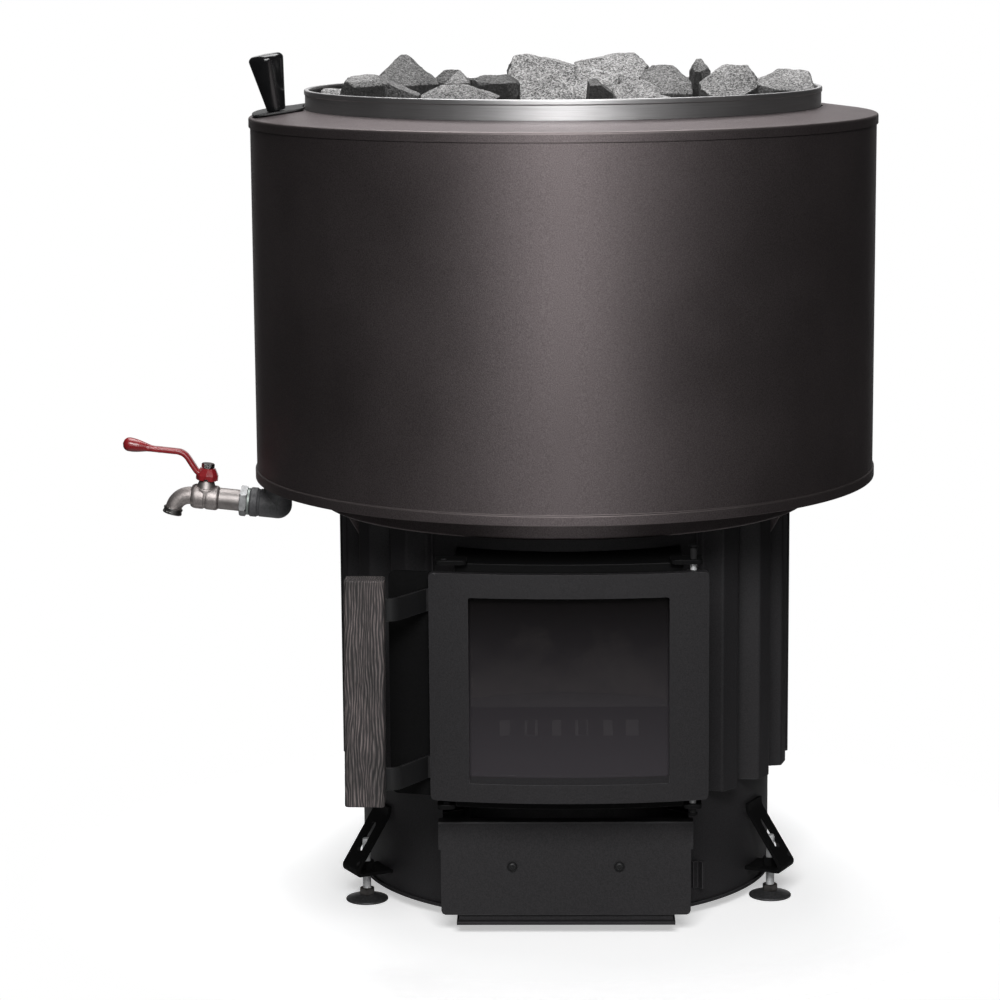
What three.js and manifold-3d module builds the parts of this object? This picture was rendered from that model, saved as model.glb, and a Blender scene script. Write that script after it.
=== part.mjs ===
// A wood-burning sauna stove: a round firebox on three screw feet, a ring-shaped water tank around the
// stone pot, a bowed glass door, an ash drawer, folded air ribs and a drain tap. Millimetres, +Z up.
// The origin is on the stove's axis at floor level, and the door faces -Y.
import * as THREE from "three";
import { ConvexGeometry } from "three/addons/geometries/ConvexGeometry.js";
import { mergeVertices } from "three/addons/utils/BufferGeometryUtils.js";
import Module from "manifold-3d";

const wasm = await Module();
wasm.setup();

// Clearances and mesh fineness
const seat = 0.3; // left between pieces that touch
const overrun = 6; // how far a cutting body runs past what it cuts
const weldDistance = 0.001;
const ringSegments = 48;
const flueSegments = 24;
const smallSegments = 12;
const cornerSegments = 3;
const degree = Math.PI / 180;

// Body: a steel drum on a base plate
const floorClearance = 10;
const bodyRadius = 197;
const bodyWall = 3;
const basePlateThickness = 3;
const basePlateOverhang = 2.5;
const baseLipWidth = 200;
const baseLipReach = 20;
const ashMouthWidth = 228;
const ashMouthHeight = 115;
const catchGap = 2.2;
const catchWidth = 8;
const catchHeight = 26;
const catchDepth = 9;
const catchRise = 14;
const catchSheet = 2.5;

// Collar that carries the tank on the drum
const drumHeadroom = 17;
const collarOverhang = 36;
const collarSheet = 2.5;
const collarHeight = 24;
const collarFlangeSheet = 3;
const collarFlangeLap = 11;
const gussetSheet = 3;
const gussetSetback = 10.9;
const gussetDrop = 30;
const gussetToe = 5;
const gussetAzimuths = [67.5, 112.5, -67.5, -112.5];

// Water tank around the stone pot
const tankHeight = 341;
const waterRingWidth = 52.5;
const jacketSheet = 1.8;
const lipHeight = 9;
const lipSheet = 1.2;
const tankFloorSheet = 2;
const tankFloorLap = 8;
const coverSheet = 1.5;
const coverRise = 7;
const innerWallSheet = 2;

// Stone pot and its rim
const potWall = 2.5;
const potFloorRise = 145;
const potFloorThickness = 5;
const rimOverhang = 10;
const rimSheet = 2;
const rimRise = 18;
const rimSkirtHeight = 52;
const rimBeadWidth = 4.5;
const rimBeadHeight = 3;

// Folded air ribs on both sides of the drum
const ribSheet = 1.5;
const ribDepth = 17.5;
const ribFlatAngle = 5.6;
const ribFlankAngle = 2.8;
const ribPitchAngle = 15;
const ribEdgeAngle = 7.4;
const ribFrameGap = 14.7;
const ribFlueGap = 1;
const ribOverhang = 8;

// Firebox inside the drum
const fireFloorThickness = 4;
const grateWidth = 150;
const grateLength = 170;
const grateThickness = 12;
const grateBorder = 12;
const grateSlotWidth = 8;
const grateSlotCount = 8;
const grateLedge = 5;
const liningThickness = 12;
const liningHeight = 190;
const liningGapAngle = 62;
const guardHeight = 74;
const guardThickness = 4;
const guardSetback = 6;
const guardSlotCount = 6;
const guardSlotPitch = 23;
const guardSlotWidth = 12;
const guardSlotHeight = 15.5;
const guardSlotCentre = 54.5;

// Flue outlet at the back
const flueRadius = 57.5;
const flueWall = 2;
const flueDrop = 75;
const flueReach = 52;
const flueInset = 14;
const flueFlangeRadius = 70;
const flueFlangeSheet = 3;

// Door frame: a box that stands out of the drum
const doorCentre = 3.5;
const frameWall = 3;
const frameHeight = 223;
const frameRise = 3;
const flangeSideBorder = 14;
const flangeEndBorder = 20;
const lugWidth = 16;
const lugSheet = 4;
const lugReach = 15;
const lugRoot = 12;
const lugOverhang = 8.5;

// Door leaf, bowed about an upright axis
const doorStandoff = 78;
const doorBow = 546;
const doorWidth = 248;
const doorBottomInset = 9.5;
const doorTopInset = 6;
const doorSheet = 8;
const doorCorner = 7;
const paneSideBorder = 35;
const paneTopBorder = 21.5;
const paneRise = 22;
const paneCorner = 3;
const paneBevel = 5;
const glassLap = 5;
const glassThickness = 4;
const retainerReach = 5.5;
const retainerSheet = 2;
const gasketReach = 13;
const gasketWidth = 7;
const gasketEndInset = 2;
const gasketThickness = 8.4;
const bowStep = 4;

// Hinge pins at the right edge of the door
const pinRadius = 3;
const barrelRadius = 6;
const barrelHeight = 24;
const barrelStandoff = 5;
const pinHeadRadius = 4.5;
const pinHeadHeight = 2.5;
const topPinRise = 14;
const bottomPinDrop = 5;
const pinClearance = 0.35;

// Handle: a wooden bar on two bent straps, with a heat guard behind
const barWidth = 35;
const barDepth = 24;
const barBottomInset = 9.5;
const barTopRise = 8;
const barCorner = 3;
const strapSheet = 3;
const strapHeight = 20.5;
const strapStandoff = 20.7;
const strapRun = 29;
const strapEdgeInset = 1.5;
const strapTail = 16;
const strapTopDrop = 36.5;
const strapBottomRise = 18.5;
const strapOverlap = 26;
const barOffset = 24.5;
const shieldSheet = 2;
const shieldReach = 38;
const shieldSetback = 35;
const shieldInset = 1.5;
const shieldCorner = 7;
const shieldTail = 13;

// Ash drawer
const drawerStandoff = 18;
const drawerFrontSheet = 3;
const drawerFrontLap = 2;
const drawerFrontHeight = 88;
const drawerFrontUnderside = 19;
const drawerWideHeight = 26;
const drawerFold = 14;
const drawerFoldSheet = 2;
const trayWidth = 196;
const trayPastAxis = 78;
const trayHeight = 66;
const traySheet = 2;
const drawerScrewSpacing = 97.6;
const drawerScrewHeight = 65;
const screwRadius = 2.5;
const screwHeadRadius = 4.7;
const screwHeadHeight = 3;
const screwLength = 14;
const screwClearance = 0.35;
const socketAcross = 4;
const socketDepth = 1.8;

// Three screw feet
const footAzimuths = { left: -61, right: 64, rear: 180 };
const bracketWidth = 32;
const bracketSheet = 3;
const bracketTop = 92;
const bracketTab = 7;
const bracketReach = 34;
const bracketKnee = 33.5;
const bracketShelf = 27.5;
const bracketSlotWidth = 9.6;
const bracketSlotTop = 75;
const bracketSlotBottom = 48;
const footSetback = 19;
const footRodRadius = 4;
const footRodTop = 60;
const footThreadClearance = 0.35;
const weldNutAcross = 13;
const weldNutHeight = 8;
const footDiscRadius = 20;
const footDiscEdge = 2.5;
const footConeHeight = 6;
const footConeRadius = 9.5;
const footHexAcross = 15.5;
const footHexHeight = 5.5;

// Filler opening, lid, knob and lid hinge in the tank cover
const lidFrontAzimuth = 77;
const lidHingeAzimuth = 122;
const lidGap = 1;
const lidSheet = 2;
const lidInnerGap = 1.2;
const lidOuterInset = 3.5;
const fillerBorder = 7.5;
const fillerLap = 2;
const lidRearAngle = 1.6;
const knuckleRadius = 4;
const knuckleLength = 12;
const knuckleFootInset = 1.2;
const lidPinRadius = 2;
const lidPinClearance = 0.35;
const lidPinOverhang = 2;
const knobInset = 22.3;
const knobAzimuth = 80.6;
const knobLean = 10.5;
const knobHeight = 53;
const knobTopRadius = 16.5;
const knobBaseRadius = 8.5;
const knobDome = 4;
const knobStudRadius = 3;
const knobStudLength = 6;

// Drain tap under the left of the tank
const tapInset = 19.5;
const tapDrop = 32;
const tapTilt = 6.3;
const elbowRadius = 13.5;
const elbowBore = 7.5;
const elbowArm = 18;
const elbowCuffRadius = 14.2;
const elbowCuffLength = 9;
const spigotRadius = 10.4;
const spigotRise = 8;
const unionNutAcross = 26;
const unionNutLength = 9.4;
const tapPipeRadius = 10.3;
const tapPipeLength = 20;
const tapBodyRadius = 12;
const tapBodyLength = 27;
const tapBodyGroove = 0.8;
const tapBore = 6;
const tapBallRadius = 9;
const tapBallClearance = 1.1;
const tapBallLap = 1.5;
const ballSegments = 10;
const tapSegments = 12;
const spoutRadius = 10;
const spoutBend = 16.5;
const spoutTurn = 80;
const spoutLipRadius = 10.4;
const spoutLipLength = 6;
const stemRadius = 3.5;
const stemClearance = 0.35;
const neckRadius = 7;
const neckFootRadius = 11;
const neckFoot = 8.5;
const neckTop = 16.5;
const stemTop = 31;
const hubRadius = 11;
const hubHeight = 11.5;
const leverSheet = 4.6;
const leverWidth = 12;
const leverRise = 23;
const leverRun = 13;
const leverReach = 77;
const leverEndRadius = 6.8;
const leverEndLength = 26;
const leverEndLift = 2.4;
const leverNutAcross = 11;
const leverNutHeight = 4.5;

// Sauna stones
const stoneLength = 80;
const stoneClearance = 0.5;
const heapInset = 2;
const heapSegments = 24;
const heapDrop = 33;

// Places that follow from the sizes above, from the floor up
const baseTop = floorClearance + basePlateThickness;
const ashMouthTop = baseTop + ashMouthHeight;
const frameBottom = ashMouthTop + frameRise;
const frameTop = frameBottom + frameHeight;
const drumTop = frameTop + drumHeadroom;
const tankUnderside = drumTop + collarHeight;
const flueHeight = drumTop - flueDrop;
const coverEdge = tankUnderside + tankHeight;
const coverFoot = coverEdge + coverRise;
const rimTop = coverFoot + rimRise;
const potFloorHeight = tankUnderside + potFloorRise;
const heapLow = rimTop - heapDrop;

// From the axis out
const collarRadius = bodyRadius + collarOverhang;
const rimRadius = collarRadius + rimOverhang;
const potRadius = rimRadius - rimSheet - seat;
const coverInnerRadius = rimRadius + seat;
const jacketRadius = rimRadius + waterRingWidth;
const drawerFrontReach = bodyRadius + drawerStandoff;
const drawerFrontWidth = ashMouthWidth + 2 * drawerFrontLap;
const doorReach = bodyRadius + doorStandoff;
const paneWidth = doorWidth - 2 * paneSideBorder;
const frameHalfWidth = paneWidth / 2 + gasketReach;
const lugSetback = frameHalfWidth + lugOverhang;
const lidInnerRadius = coverInnerRadius + lidInnerGap;
const lidOuterRadius = jacketRadius - lidOuterInset;
const fillerInnerRadius = lidInnerRadius + fillerBorder;
const fillerOuterRadius = lidOuterRadius - fillerBorder;
const knobRadius = lidOuterRadius - knobInset;
const tapSetback = jacketRadius - tapInset;

// The door and its handle
const doorUnderside = frameBottom + doorBottomInset;
const doorTop = frameTop - doorTopInset;
const doorHeight = doorTop - doorUnderside;
const paneHeight = doorHeight - paneRise - paneTopBorder;
const strapFront = doorReach + strapStandoff;
const strapEdge = doorWidth / 2 - doorCentre - strapEdgeInset;
const strapBend = strapEdge + strapRun;
const barCentre = strapBend + barOffset;
const barUnderside = doorUnderside + barBottomInset;
const barHeight = doorTop + barTopRise - barUnderside;
const shieldOuter = strapEdge + shieldReach;
const coverSlope = coverRise / (jacketRadius - coverInnerRadius);
const coverTilt = Math.atan(coverSlope);
const fireFloorTop = ashMouthTop + fireFloorThickness;
const grateTop = fireFloorTop + seat + grateThickness - grateLedge;
const bowAxis = doorBow - doorReach;
const leafBack = doorBow - doorSheet;
const pinX = doorCentre + lugSetback;
const pinY = bowAxis - Math.sqrt(leafBack ** 2 - lugSetback ** 2) + barrelStandoff;
const frameFront = leafBack - gasketThickness - 2 * seat;
const tapHeight = tankUnderside - tapDrop;
const coordinates = 3;

// Turns a closed geometry into a solid whose faces point outwards.
function toSolid(geometry) {
  const plain = geometry.index ? geometry.toNonIndexed() : geometry.clone();
  plain.deleteAttribute("normal");
  plain.deleteAttribute("uv");
  const welded = mergeVertices(plain, weldDistance);
  const place = welded.attributes.position;
  const corner = [0, 1, 2].map(() => new THREE.Vector3());
  const faces = [];
  let volume = 0;
  for (let i = 0; i < welded.index.count; i += 3) {
    const face = [0, 1, 2].map((k) => welded.index.getX(i + k));
    if (new Set(face).size < 3) continue;
    corner.forEach((point, k) => point.fromBufferAttribute(place, face[k]));
    volume += corner[0].dot(corner[1].clone().cross(corner[2]));
    faces.push(face);
  }
  const turned = volume < 0 ? faces.map(([a, b, c]) => [a, c, b]) : faces;
  return new wasm.Manifold(
    new wasm.Mesh({
      numProp: coordinates,
      vertProperties: place.array,
      triVerts: new Uint32Array(turned.flat()),
    }),
  );
}

function toGeometry(solid) {
  const mesh = solid.getMesh();
  const geometry = new THREE.BufferGeometry();
  const count = mesh.vertProperties.length / mesh.numProp;
  const places = new Float32Array(count * coordinates);
  for (let i = 0; i < count; i++)
    places.set(mesh.vertProperties.subarray(i * mesh.numProp, i * mesh.numProp + coordinates), i * coordinates);
  geometry.setAttribute("position", new THREE.BufferAttribute(places, coordinates));
  geometry.setIndex(new THREE.BufferAttribute(mesh.triVerts, 1));
  geometry.computeVertexNormals();
  return geometry;
}

const join = (first, ...rest) => rest.reduce((whole, next) => whole.add(next), first);
const cut = (first, ...rest) => rest.reduce((whole, next) => whole.subtract(next), first);

// A ring or disc about the upright axis from [radius, height] corners, starting at the front (-Y).
function revolve(corners, segments = ringSegments) {
  const onAxis = corners[0][0] === 0 && corners.at(-1)[0] === 0;
  const closed = onAxis ? corners : [...corners, corners[0]];
  const profile = closed.map(([radius, height]) => new THREE.Vector2(radius, height));
  return toSolid(new THREE.LatheGeometry(profile, segments).rotateX(Math.PI / 2));
}

const tube = (outer, inner, bottom, top, segments) =>
  revolve([[inner, bottom], [outer, bottom], [outer, top], [inner, top]], segments);
const disc = (radius, bottom, top, segments) =>
  revolve([[0, bottom], [radius, bottom], [radius, top], [0, top]], segments);

function block([x0, x1], [y0, y1], [z0, z1]) {
  const box = new THREE.BoxGeometry(x1 - x0, y1 - y0, z1 - z0);
  return toSolid(box.translate((x0 + x1) / 2, (y0 + y1) / 2, (z0 + z1) / 2));
}

// A round bar between two points.
function bar(radius, from, to, segments = smallSegments, endRadius = radius) {
  const axis = new THREE.Vector3().subVectors(to, from);
  const shape = new THREE.CylinderGeometry(endRadius, radius, axis.length(), segments);
  const turn = new THREE.Quaternion().setFromUnitVectors(
    new THREE.Vector3(0, 1, 0),
    axis.clone().normalize(),
  );
  const middle = new THREE.Vector3().addVectors(from, to).multiplyScalar(1 / 2);
  return toSolid(shape.applyQuaternion(turn).translate(middle.x, middle.y, middle.z));
}

const at = (x, y, z) => new THREE.Vector3(x, y, z);
const flat = (corners) => new THREE.Shape(corners.map(([x, y]) => new THREE.Vector2(x, y)));

const extrude = (shape, depth) =>
  new THREE.ExtrudeGeometry(shape, { depth, bevelEnabled: false, curveSegments: cornerSegments });

// An upright prism over an outline seen from above.
function column(shape, bottom, top) {
  return toSolid(extrude(shape, top - bottom).translate(0, 0, bottom));
}

// A prism along Y over an outline seen from the front, as [x, z] corners.
function slab(shape, front, back) {
  return toSolid(extrude(shape, back - front).rotateX(Math.PI / 2).translate(0, back, 0));
}

function roundedRectangle(left, right, bottom, top, corner) {
  const shape = new THREE.Shape();
  shape.moveTo(left + corner, bottom);
  shape.lineTo(right - corner, bottom);
  shape.absarc(right - corner, bottom + corner, corner, -Math.PI / 2, 0);
  shape.lineTo(right, top - corner);
  shape.absarc(right - corner, top - corner, corner, 0, Math.PI / 2);
  shape.lineTo(left + corner, top);
  shape.absarc(left + corner, top - corner, corner, Math.PI / 2, Math.PI);
  shape.lineTo(left, bottom + corner);
  shape.absarc(left + corner, bottom + corner, corner, Math.PI, 1.5 * Math.PI);
  return shape;
}

// A hexagonal prism on +Z, measured across its flats.
function hexagon(across, bottom, top) {
  const corner = across / 2 / Math.cos(Math.PI / 6);
  return disc(corner, bottom, top, 6);
}

function turned(solid, axis, angle) {
  return toSolid(toGeometry(solid).applyMatrix4(new THREE.Matrix4().makeRotationAxis(axis, angle)));
}

function moved(solid, x, y, z) {
  return toSolid(toGeometry(solid).translate(x, y, z));
}

const upright = at(0, 0, 1);
const across = at(1, 0, 0);
const depthwise = at(0, 1, 0);

// The place at a radius and an azimuth, which counts from the front towards +X.
const polar = (radius, azimuth) => [
  radius * Math.sin(azimuth * degree),
  -radius * Math.cos(azimuth * degree),
];

// A wedge about the upright axis between two azimuths, for cutting ring sectors.
function wedge(from, to, radius, bottom, top) {
  const steps = Math.max(1, Math.ceil((to - from) / (360 / ringSegments)));
  const rim = Array.from({ length: steps + 1 }, (_, i) => polar(radius, from + ((to - from) * i) / steps));
  return column(flat([[0, 0], ...rim]), bottom, top);
}

// A band between two radii about the door's bow axis.
function bowedBand(outer, inner, bottom, top) {
  const half = Math.asin((doorWidth / 2 + shieldOuter) / doorBow) / degree;
  const steps = Math.ceil((2 * half) / bowStep);
  const arc = (radius) =>
    Array.from({ length: steps + 1 }, (_, i) => {
      const [x, y] = polar(radius, -half + (2 * half * i) / steps);
      return [doorCentre + x, bowAxis + y];
    });
  return column(flat([...arc(outer), ...arc(inner).reverse()]), bottom, top);
}

// A plate that follows the door's bow: an outline seen from the front, between two bow radii.
function bowedPlate(shape, outer, inner) {
  const band = bowedBand(outer, inner, floorClearance, tankUnderside);
  return band.intersect(slab(shape, -doorReach - overrun, -bodyRadius));
}

// Materials
const finish = (color, roughness, metalness, extra = {}) =>
  new THREE.MeshStandardMaterial({ color, roughness, metalness, ...extra });
const blackSteel = finish(0x1b1b1c, 0.55, 0.5);
const castIron = finish(0x2a2a2b, 0.7, 0.6);
const bronzeCoat = finish(0x3a302d, 0.45, 0.5);
const stainless = finish(0x9a9896, 0.35, 1);
const zinc = finish(0xb9bcbd, 0.4, 0.9);
const nickel = finish(0xa8a09a, 0.25, 1);
const redPaint = finish(0xa3262a, 0.4, 0.3);
const darkAsh = finish(0x3b3431, 0.6, 0);
const darkGlass = finish(0x16120f, 0.08, 0, { transparent: true, opacity: 0.6 });
const rope = finish(0x4a4846, 0.95, 0);
const lining = finish(0x8f8578, 0.95, 0);
const blackKnob = finish(0x0b0b0c, 0.15, 0);
const greyPlastic = finish(0x3d3f42, 0.7, 0);
const granite = finish(0x7c7b79, 0.9, 0);

const stove = new THREE.Group();

function piece(name, solid, material, parent = stove) {
  const mesh = new THREE.Mesh(toGeometry(solid), material);
  mesh.name = name;
  parent.add(mesh);
  return mesh;
}

// The azimuth at which a round wall is a distance aside of the stove's middle
const azimuthAside = (distance, radius) => Math.asin(distance / radius) / degree;

// Base plate with the lip under the ash drawer
function basePlate() {
  const plate = disc(bodyRadius + basePlateOverhang, floorClearance, baseTop);
  const lip = block(
    [-baseLipWidth / 2, baseLipWidth / 2],
    [-bodyRadius - baseLipReach, 0],
    [floorClearance, baseTop],
  );
  return join(plate, lip);
}

const frameLeft = doorCentre - frameHalfWidth;
const frameRight = doorCentre + frameHalfWidth;

// Drum with the ash mouth, the fire mouth, the flue hole and the drawer's catch
function bodyShell() {
  const shell = tube(bodyRadius, bodyRadius - bodyWall, baseTop + seat, drumTop - seat);
  const ashMouth = block(
    [-ashMouthWidth / 2, ashMouthWidth / 2],
    [-bodyRadius - overrun, 0],
    [floorClearance, ashMouthTop],
  );
  const fireMouth = block(
    [frameLeft + frameWall, frameRight - frameWall],
    [-bodyRadius - overrun, 0],
    [frameBottom + frameWall, frameTop - frameWall],
  );
  const flueHole = bar(flueRadius + seat, at(0, 0, flueHeight), at(0, bodyRadius + overrun, flueHeight), flueSegments);
  return join(cut(shell, ashMouth, fireMouth, flueHole), drawerCatch());
}

// A folded tab that a drawer's edge stops against
function drawerCatch() {
  const inner = bodyRadius - bodyWall;
  const outer = bodyRadius + catchDepth;
  const bottom = baseTop + catchRise;
  const half = catchWidth / 2;
  const tab = flat([
    [-half, -inner],
    [half, -inner],
    [half, -outer],
    [half - catchSheet, -outer],
    [half - catchSheet, -bodyRadius - catchSheet],
    [-half, -bodyRadius - catchSheet],
  ]);
  const azimuth = azimuthAside(ashMouthWidth / 2 + catchGap + half, bodyRadius);
  return turned(column(tab, bottom, bottom + catchHeight), upright, azimuth * degree);
}

// Box frame of the door with four hinge lugs, so that the door can hang on either side
function frontFrame() {
  const back = -Math.sqrt((bodyRadius - overrun) ** 2 - frameHalfWidth ** 2) + overrun;
  const outside = block([frameLeft, frameRight], [-doorReach, back], [frameBottom, frameTop]);
  const inside = block(
    [frameLeft + frameWall, frameRight - frameWall],
    [-doorReach - overrun, back + overrun],
    [frameBottom + frameWall, frameTop - frameWall],
  );
  const drum = disc(bodyRadius + seat, frameBottom - overrun, frameTop + overrun);
  const band = bowedBand(frameFront, frameFront - doorReach, frameBottom - overrun, frameTop + overrun);
  const box = cut(outside, inside).intersect(band);
  const flange = bowedPlate(
    frameShape(
      doorZone(frameHalfWidth, frameBottom, frameTop),
      doorZone(frameHalfWidth - flangeSideBorder, frameBottom + flangeEndBorder, frameTop - flangeEndBorder),
      frameWall,
    ),
    frameFront,
    frameFront - frameWall,
  );
  const lugs = [-1, 1].flatMap((side) => [
    hingeLug(side, frameTop, frameTop + lugSheet),
    hingeLug(side, frameBottom, frameBottom + lugSheet),
  ]);
  return cut(join(box, flange, ...lugs), drum);
}

function hingeLug(side, bottom, top) {
  const middle = doorCentre + side * lugSetback;
  const inner = side * (frameHalfWidth - lugRoot);
  const outer = side * (lugSetback + lugWidth / 2);
  const ends = [doorCentre + inner, doorCentre + outer].sort((a, b) => a - b);
  const inside = bottom < frameTop ? frameWall : 0;
  ends[side < 0 ? 1 : 0] = doorCentre + side * (frameHalfWidth - (inside || lugRoot));
  const plate = block(ends, [pinY - lugWidth / 2, pinY + lugReach], [bottom, top]);
  return cut(plate, upBar(pinRadius + pinClearance, middle, pinY, bottom - overrun, top + overrun));
}

const upBar = (radius, x, y, bottom, top, segments) => bar(radius, at(x, y, bottom), at(x, y, top), segments);

// Firebox floor, grate, lining and ember guard
function fireFloor() {
  const plate = disc(bodyRadius - bodyWall - seat, ashMouthTop + seat, fireFloorTop);
  const opening = block(
    [-grateWidth / 2 + grateLedge, grateWidth / 2 - grateLedge],
    [-grateLength / 2 + grateLedge, grateLength / 2 - grateLedge],
    [ashMouthTop - overrun, fireFloorTop + overrun],
  );
  return cut(plate, opening);
}

function grate() {
  const top = grateTop;
  const rest = fireFloorTop + seat;
  const plate = block([-grateWidth / 2, grateWidth / 2], [-grateLength / 2, grateLength / 2], [rest, top]);
  const keel = block(
    [-grateWidth / 2 + grateLedge + seat, grateWidth / 2 - grateLedge - seat],
    [-grateLength / 2 + grateLedge + seat, grateLength / 2 - grateLedge - seat],
    [top - grateThickness, rest],
  );
  const span = grateWidth - 2 * grateBorder;
  const pitch = (span + grateSlotWidth) / grateSlotCount;
  const slots = Array.from({ length: grateSlotCount - 1 }, (_, i) => {
    const middle = -span / 2 - grateSlotWidth / 2 + pitch * (i + 1);
    return block(
      [middle - grateSlotWidth / 2, middle + grateSlotWidth / 2],
      [-grateLength / 2 + grateBorder, grateLength / 2 - grateBorder],
      [top - grateThickness - overrun, top + overrun],
    );
  });
  return cut(join(plate, keel), ...slots);
}

function rearLining() {
  const outer = bodyRadius - bodyWall - seat;
  const bottom = fireFloorTop + seat;
  const ring = tube(outer, outer - liningThickness, bottom, bottom + liningHeight);
  const gap = wedge(-liningGapAngle, liningGapAngle, 2 * bodyRadius, bottom - overrun, rimTop);
  const flue = bar(flueRadius + seat, at(0, 0, flueHeight), at(0, bodyRadius, flueHeight), flueSegments);
  return cut(ring, gap, flue);
}

function emberGuard() {
  const bottom = frameBottom + frameWall + seat;
  const back = -bodyRadius + guardSetback + guardThickness;
  const left = frameLeft + frameWall + seat;
  const right = frameRight - frameWall - seat;
  const plate = block([left, right], [back - guardThickness, back], [bottom, bottom + guardHeight]);
  const slots = Array.from({ length: guardSlotCount }, (_, i) => {
    const middle = doorCentre + guardSlotPitch * (i - (guardSlotCount - 1) / 2);
    return block(
      [middle - guardSlotWidth / 2, middle + guardSlotWidth / 2],
      [back - guardThickness - overrun, back + overrun],
      [bottom + guardSlotCentre - guardSlotHeight / 2, bottom + guardSlotCentre + guardSlotHeight / 2],
    );
  });
  return cut(plate, ...slots);
}

// A trapezoid-folded sheet that stands on the drum and leaves upright air channels
function ribPanel(side) {
  const valley = bodyRadius + seat + ribSheet;
  const ridge = valley + ribDepth;
  const flatHalf = ribFlatAngle / 2;
  const footHalf = flatHalf + ribFlankAngle;
  const edge = azimuthAside(frameRight + ribFrameGap, bodyRadius);
  const room = 180 - azimuthAside(flueFlangeRadius + ribFlueGap, bodyRadius) - edge;
  const count = Math.floor(room / ribPitchAngle);
  const first = edge + ribEdgeAngle;
  const last = first + ribPitchAngle * (count - 1);
  const skin = [[valley, edge]];
  for (let i = 0; i < count; i++) {
    const middle = first + ribPitchAngle * i;
    skin.push([valley, middle - footHalf], [ridge, middle - flatHalf]);
    skin.push([ridge, middle + flatHalf], [valley, middle + footHalf]);
  }
  skin.push([valley, last + ribEdgeAngle]);
  const outside = skin.map(([radius, azimuth]) => polar(radius, side * azimuth));
  const inside = offsetPath(outside, side * ribSheet);
  return column(flat([...outside, ...inside.reverse()]), ashMouthTop - ribOverhang, drumTop - seat);
}

// Moves an open path sideways by a distance, keeping its sheet thickness at the folds.
function offsetPath(path, distance) {
  const normals = path.slice(1).map(([x, y], i) => {
    const [px, py] = path[i];
    const length = Math.hypot(x - px, y - py);
    return [-(y - py) / length, (x - px) / length];
  });
  return path.map(([x, y], i) => {
    const [ax, ay] = normals[Math.max(0, i - 1)];
    const [bx, by] = normals[Math.min(normals.length - 1, i)];
    const share = distance / (1 + ax * bx + ay * by);
    return [x + (ax + bx) * share, y + (ay + by) * share];
  });
}

// Collar between drum and tank, with four gussets
function supportCollar() {
  const bottom = drumTop;
  const flangeTop = bottom + collarFlangeSheet;
  const inner = collarRadius - collarSheet;
  const flangeInner = bodyRadius - collarFlangeLap;
  const ring = revolve([
    [flangeInner, bottom],
    [collarRadius, bottom],
    [collarRadius, tankUnderside - seat],
    [inner, tankUnderside - seat],
    [inner, flangeTop],
    [flangeInner, flangeTop],
  ]);
  const root = bodyRadius + ribSheet + 2 * seat;
  const tip = collarRadius - gussetSetback;
  const gusset = flat([
    [root, bottom],
    [root, bottom - gussetDrop],
    [root + gussetToe, bottom - gussetDrop],
    [tip, bottom],
    [tip, flangeTop],
    [root, flangeTop],
  ]);
  const plates = gussetAzimuths.map((azimuth) => {
    const plate = slab(gusset, -gussetSheet / 2, gussetSheet / 2);
    return turned(plate, upright, (azimuth - 90) * degree);
  });
  return join(ring, ...plates);
}

// Tank: floor, jacket, inner wall and cover, with the water between the two walls
function tankFloor() {
  const outer = jacketRadius - lipSheet - seat;
  const ring = tube(outer, collarRadius - tankFloorLap, tankUnderside, tankUnderside + tankFloorSheet);
  return cut(ring, spigotHole());
}

const spigotHole = () =>
  upBar(spigotRadius + seat, -tapSetback, 0, tankUnderside - overrun, tankUnderside + lipHeight);

// The jacket's lower edge is a folded hem around the tank's floor.
function jacket() {
  const outer = jacketRadius - lipSheet - seat;
  const bottom = tankUnderside + tankFloorSheet + seat;
  const top = coverEdge - coverSheet - seat;
  const hem = jacketRadius - lipSheet;
  const hemTop = tankUnderside + lipHeight;
  return revolve([
    [outer - jacketSheet, bottom],
    [hem, bottom],
    [hem, tankUnderside],
    [jacketRadius, tankUnderside],
    [jacketRadius, hemTop],
    [outer, hemTop],
    [outer, top],
    [outer - jacketSheet, top],
  ]);
}

function tankInnerWall() {
  const bottom = tankUnderside + tankFloorSheet + seat;
  return tube(coverInnerRadius + innerWallSheet, coverInnerRadius, bottom, coverFoot - coverSheet - 2 * seat);
}

// The top face of the cover at a radius
const coverAt = (radius) => coverEdge + (jacketRadius - radius) * coverSlope;

function topCover() {
  const drop = coverSheet;
  const inner = jacketRadius - lipSheet;
  const cone = revolve([
    [coverInnerRadius, coverFoot - drop],
    [coverInnerRadius, coverFoot],
    [jacketRadius, coverEdge],
    [jacketRadius, coverEdge - lipHeight],
    [inner, coverEdge - lipHeight],
    [inner, coverAt(inner) - drop],
  ]);
  const mouth = tube(fillerOuterRadius, fillerInnerRadius, coverEdge - lipHeight, rimTop).intersect(
    wedge(-lidHingeAzimuth + fillerLap + lidRearAngle, -lidFrontAzimuth - fillerLap, 2 * bodyRadius, 0, rimTop),
  );
  return join(cut(cone, mouth), ...coverKnuckles());
}

// Stone pot: a tube, and the floor in it that carries the stones over the fire
function stonePot() {
  const bottom = tankUnderside + tankFloorSheet + seat;
  return tube(potRadius, potRadius - potWall, bottom, rimTop - rimBeadHeight - seat);
}

function potFloor() {
  return disc(potRadius - potWall - seat, potFloorHeight, potFloorHeight + potFloorThickness);
}

function stoneRim() {
  const inner = rimRadius - rimSheet;
  return revolve([
    [inner, coverFoot - rimSkirtHeight],
    [rimRadius, coverFoot - rimSkirtHeight],
    [rimRadius, rimTop],
    [rimRadius - rimBeadWidth, rimTop],
    [rimRadius - rimBeadWidth, rimTop - rimBeadHeight],
    [inner, rimTop - rimBeadHeight],
  ]);
}

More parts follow.
